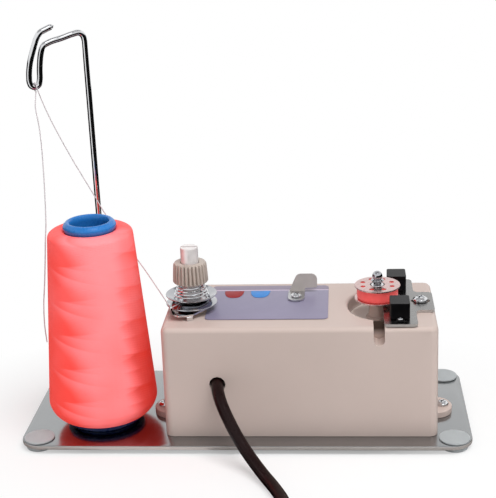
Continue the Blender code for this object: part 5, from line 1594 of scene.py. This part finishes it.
def studio_floor():
    """A pale floor that keeps the shadow near the winder and fades into white."""
    material, tree, shader, place = start("studio_floor", {"Roughness": 0.9, "Specular IOR Level": 0.0})
    shader.inputs["Base Color"].default_value = colours().floor
    oval = add(tree, "ShaderNodeMapping", {"Scale": (1 / 0.12, 1 / 0.075, 1)}, {"Vector": place})
    reach = add(tree, "ShaderNodeVectorMath", {1: (0, 0, 0)}, {0: oval.outputs[0]}, operation="DISTANCE")
    fade = add(
        tree,
        "ShaderNodeMapRange",
        {"From Min": 0.7, "From Max": 1.5, "To Min": 0.35},
        {"Value": reach.outputs["Value"]},
    )
    light = add(tree, "ShaderNodeLightPath")
    either = add(
        tree,
        "ShaderNodeMath",
        links={0: light.outputs["Is Camera Ray"], 1: light.outputs["Is Glossy Ray"]},
        operation="MAXIMUM",
    )
    share = add(
        tree, "ShaderNodeMath", links={0: fade.outputs[0], 1: either.outputs[0]}, operation="MULTIPLY"
    )
    white = add(tree, "ShaderNodeEmission", {"Color": (1, 1, 1, 1), "Strength": 1.0})
    mixed = add(
        tree,
        "ShaderNodeMixShader",
        links={0: share.outputs[0], 1: shader.outputs[0], 2: white.outputs[0]},
    )
    tree.links.new(mixed.outputs[0], tree.nodes["Material Output"].inputs["Surface"])
    bm = bmesh.new()
    bmesh.ops.create_circle(bm, cap_ends=True, segments=96, radius=4)
    floor = place_mesh("studio_floor", bm)
    floor.data.materials.append(material)


def studio_world(level):
    """A white room for the eye and for bright metal, and a soft even light for the rest."""
    world = bpy.data.worlds.new("studio_world")
    bpy.context.scene.world = world
    world.use_nodes = True
    tree = world.node_tree
    tree.nodes.clear()
    light = add(tree, "ShaderNodeLightPath")
    seen = add(
        tree,
        "ShaderNodeMath",
        links={0: light.outputs["Is Camera Ray"], 1: light.outputs["Is Glossy Ray"]},
        operation="MAXIMUM",
    )
    seen = add(
        tree,
        "ShaderNodeMath",
        links={0: seen.outputs[0], 1: light.outputs["Is Transmission Ray"]},
        operation="MAXIMUM",
    )
    even = add(tree, "ShaderNodeBackground", {"Color": (1, 1, 1, 1), "Strength": level})
    white = add(tree, "ShaderNodeBackground", {"Color": (1, 1, 1, 1), "Strength": 1.0})
    mixed = add(
        tree, "ShaderNodeMixShader", links={0: seen.outputs[0], 1: even.outputs[0], 2: white.outputs[0]}
    )
    out = add(tree, "ShaderNodeOutputWorld", links={"Surface": mixed.outputs[0]})
    out.is_active_output = True


def hang_card(name, bm, material):
    """Hangs a card that shows in reflections alone."""
    card = place_mesh(name, bm)
    card.data.materials.append(material)
    card.visible_camera = False
    card.visible_diffuse = False
    card.visible_shadow = False
    card.visible_transmission = False


def studio_flags():
    """Cards that show in reflections alone, with strips of light between them, to draw metal edges."""
    black, _, shader, _ = start("black_card", {"Roughness": 1.0, "Specular IOR Level": 0.0})
    shader.inputs["Base Color"].default_value = (0.006, 0.006, 0.006, 1)
    reach = 0.95
    foot = 0.3 * mm
    # Each black card is a wedge on the floor with a wall along its far side
    # Angles go round from the right of the winder, with its front at 270 degrees
    for name, begin, end, top in (
        ("card_left", 148, 212, 0.36),
        ("card_right", 250, 400, 0.36),
        ("card_behind", 40, 148, 1 * mm),
    ):
        bm = bmesh.new()
        corners = ((0, 0, foot), (reach, 0, foot), (reach, 0, top))
        verts = [bm.verts.new(corner) for corner in corners]
        edges = [bm.edges.new(pair) for pair in zip(verts, verts[1:])]
        way = Matrix.Rotation(math.radians(begin), 3, "Z")
        bmesh.ops.rotate(bm, cent=(0, 0, 0), matrix=way, verts=verts)
        bmesh.ops.spin(
            bm,
            geom=verts + edges,
            cent=(0, 0, 0),
            axis=(0, 0, 1),
            angle=math.radians(end - begin),
            steps=16,
        )
        hang_card(name, bm, black)
    # A grey sheet overhead takes the white off the tops of the wires
    grey, _, shader, _ = start("grey_card", {"Roughness": 1.0, "Specular IOR Level": 0.0})
    shader.inputs["Base Color"].default_value = (0.85, 0.85, 0.86, 1)
    bm = bmesh.new()
    bmesh.ops.create_circle(
        bm, cap_ends=True, segments=48, radius=1.1, matrix=Matrix.Translation((0, 0.1, 1.3))
    )
    hang_card("card_above", bm, grey)
    # A small bright card stands in for the key lamp, so that the metal shows a spark and no white sheet
    glow, _, shader, _ = start("lamp_card", {"Roughness": 1.0, "Emission Strength": 2.2})
    shader.inputs["Emission Color"].default_value = (1, 1, 1, 1)
    bm = bmesh.new()
    bmesh.ops.create_grid(bm, x_segments=1, y_segments=1, size=0.13)
    way = (key_lamp_place - lamp_aim).to_track_quat("-Z", "Y").to_matrix().to_4x4()
    bmesh.ops.transform(bm, matrix=Matrix.Translation(key_lamp_place) @ way, verts=bm.verts)
    hang_card("card_lamp", bm, glow)


# Operators, one for each group of pieces


class WINDER_OT_lead(bpy.types.Operator):
    """Dress the mains lead, its band and its plug"""

    bl_idname = "winder.lead"
    bl_label = "Mains lead"

    def execute(self, context):
        dress_lead()
        return {"FINISHED"}


class WINDER_OT_base(bpy.types.Operator):
    """Dress the base plate and its feet"""

    bl_idname = "winder.base"
    bl_label = "Base plate and feet"

    def execute(self, context):
        dress_base()
        return {"FINISHED"}


class WINDER_OT_case(bpy.types.Operator):
    """Dress the moulded case and its ear screws"""

    bl_idname = "winder.case"
    bl_label = "Case"

    def execute(self, context):
        dress_case()
        return {"FINISHED"}


class WINDER_OT_panel(bpy.types.Operator):
    """Dress the printed panel and its keys"""

    bl_idname = "winder.panel"
    bl_label = "Panel and keys"

    def execute(self, context):
        dress_panel()
        return {"FINISHED"}


class WINDER_OT_cutter(bpy.types.Operator):
    """Dress the thread cutter and its screw"""

    bl_idname = "winder.cutter"
    bl_label = "Thread cutter"

    def execute(self, context):
        dress_cutter()
        return {"FINISHED"}


class WINDER_OT_tension(bpy.types.Operator):
    """Dress the tension stud, guide, discs, spring and nut"""

    bl_idname = "winder.tension"
    bl_label = "Thread tension"

    def execute(self, context):
        dress_tension()
        return {"FINISHED"}


class WINDER_OT_stand(bpy.types.Operator):
    """Dress the wire thread stand"""

    bl_idname = "winder.stand"
    bl_label = "Thread stand"

    def execute(self, context):
        dress_stand()
        return {"FINISHED"}


class WINDER_OT_cone(bpy.types.Operator):
    """Dress the cone core, its wound package and the post"""

    bl_idname = "winder.cone"
    bl_label = "Thread cone"

    def execute(self, context):
        dress_cone()
        return {"FINISHED"}


class WINDER_OT_threads(bpy.types.Operator):
    """Dress the strand from the cone to the tension discs"""

    bl_idname = "winder.threads"
    bl_label = "Single thread"

    def execute(self, context):
        dress_threads()
        return {"FINISHED"}


class WINDER_OT_sensor(bpy.types.Operator):
    """Dress the full-bobbin sensor"""

    bl_idname = "winder.sensor"
    bl_label = "Sensor"

    def execute(self, context):
        dress_sensor()
        return {"FINISHED"}


class WINDER_OT_spindle(bpy.types.Operator):
    """Dress the spindle, its clip and the bobbin"""

    bl_idname = "winder.spindle"
    bl_label = "Spindle and bobbin"

    def execute(self, context):
        dress_spindle()
        dress_bobbin()
        return {"FINISHED"}


class WINDER_OT_inside(bpy.types.Operator):
    """Finish the motor, boards and power block inside the case"""

    bl_idname = "winder.inside"
    bl_label = "Inside pieces"

    def execute(self, context):
        dress_inside()
        return {"FINISHED"}


class WINDER_OT_studio(bpy.types.Operator):
    """Set up the floor, the lamps, the world and the camera"""

    bl_idname = "winder.studio"
    bl_label = "Studio"

    def execute(self, context):
        settings = context.scene.winder_studio
        context.scene.view_settings.view_transform = "Standard"
        studio_camera(settings)
        studio_floor()
        studio_world(settings.fill_level)
        studio_flags()
        soft_lamp("key_lamp", key_lamp_place, 0.7, 0.5, settings.key_power)
        soft_lamp("front_lamp", (0.6, -0.8, 0.4), 0.5, 0.5, settings.front_power)
        return {"FINISHED"}


class WINDER_PT_sidebar(bpy.types.Panel):
    """The winder's operators and settings"""

    bl_idname = "WINDER_PT_sidebar"
    bl_label = "Bobbin winder"
    bl_space_type = "VIEW_3D"
    bl_region_type = "UI"
    bl_category = "Winder"

    def draw(self, context):
        column = self.layout.column()
        for operator in operators:
            column.operator(operator.bl_idname)
        for group_name in groups:
            group = getattr(context.scene, group_name)
            box = self.layout.box()
            for name in group.bl_rna.properties.keys():
                if name not in ("rna_type", "name"):
                    box.prop(group, name)


operators = (
    WINDER_OT_studio,
    WINDER_OT_lead,
    WINDER_OT_base,
    WINDER_OT_case,
    WINDER_OT_panel,
    WINDER_OT_cutter,
    WINDER_OT_tension,
    WINDER_OT_stand,
    WINDER_OT_cone,
    WINDER_OT_threads,
    WINDER_OT_sensor,
    WINDER_OT_spindle,
    WINDER_OT_inside,
)
groups = {
    "winder_sizes": WinderSizes,
    "winder_colours": WinderColours,
    "winder_studio": StudioSettings,
}


def register():
    """Registers the property groups, the operators and the panel."""
    for name, group in groups.items():
        bpy.utils.register_class(group)
        setattr(bpy.types.Scene, name, bpy.props.PointerProperty(type=group))
    for kind in (*operators, WINDER_PT_sidebar):
        bpy.utils.register_class(kind)


def unregister():
    """Takes them all back out."""
    for kind in (WINDER_PT_sidebar, *reversed(operators)):
        bpy.utils.unregister_class(kind)
    for name, group in groups.items():
        delattr(bpy.types.Scene, name)
        bpy.utils.unregister_class(group)


def main():
    """Dresses the winder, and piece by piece."""
    register()
    bpy.ops.winder.studio()
    bpy.ops.winder.lead()
    bpy.ops.winder.base()
    bpy.ops.winder.case()
    bpy.ops.winder.panel()
    bpy.ops.winder.cutter()
    bpy.ops.winder.tension()
    bpy.ops.winder.stand()
    bpy.ops.winder.cone()
    bpy.ops.winder.threads()
    bpy.ops.winder.sensor()
    bpy.ops.winder.spindle()
    bpy.ops.winder.inside()


if __name__ == "__main__":
    main()
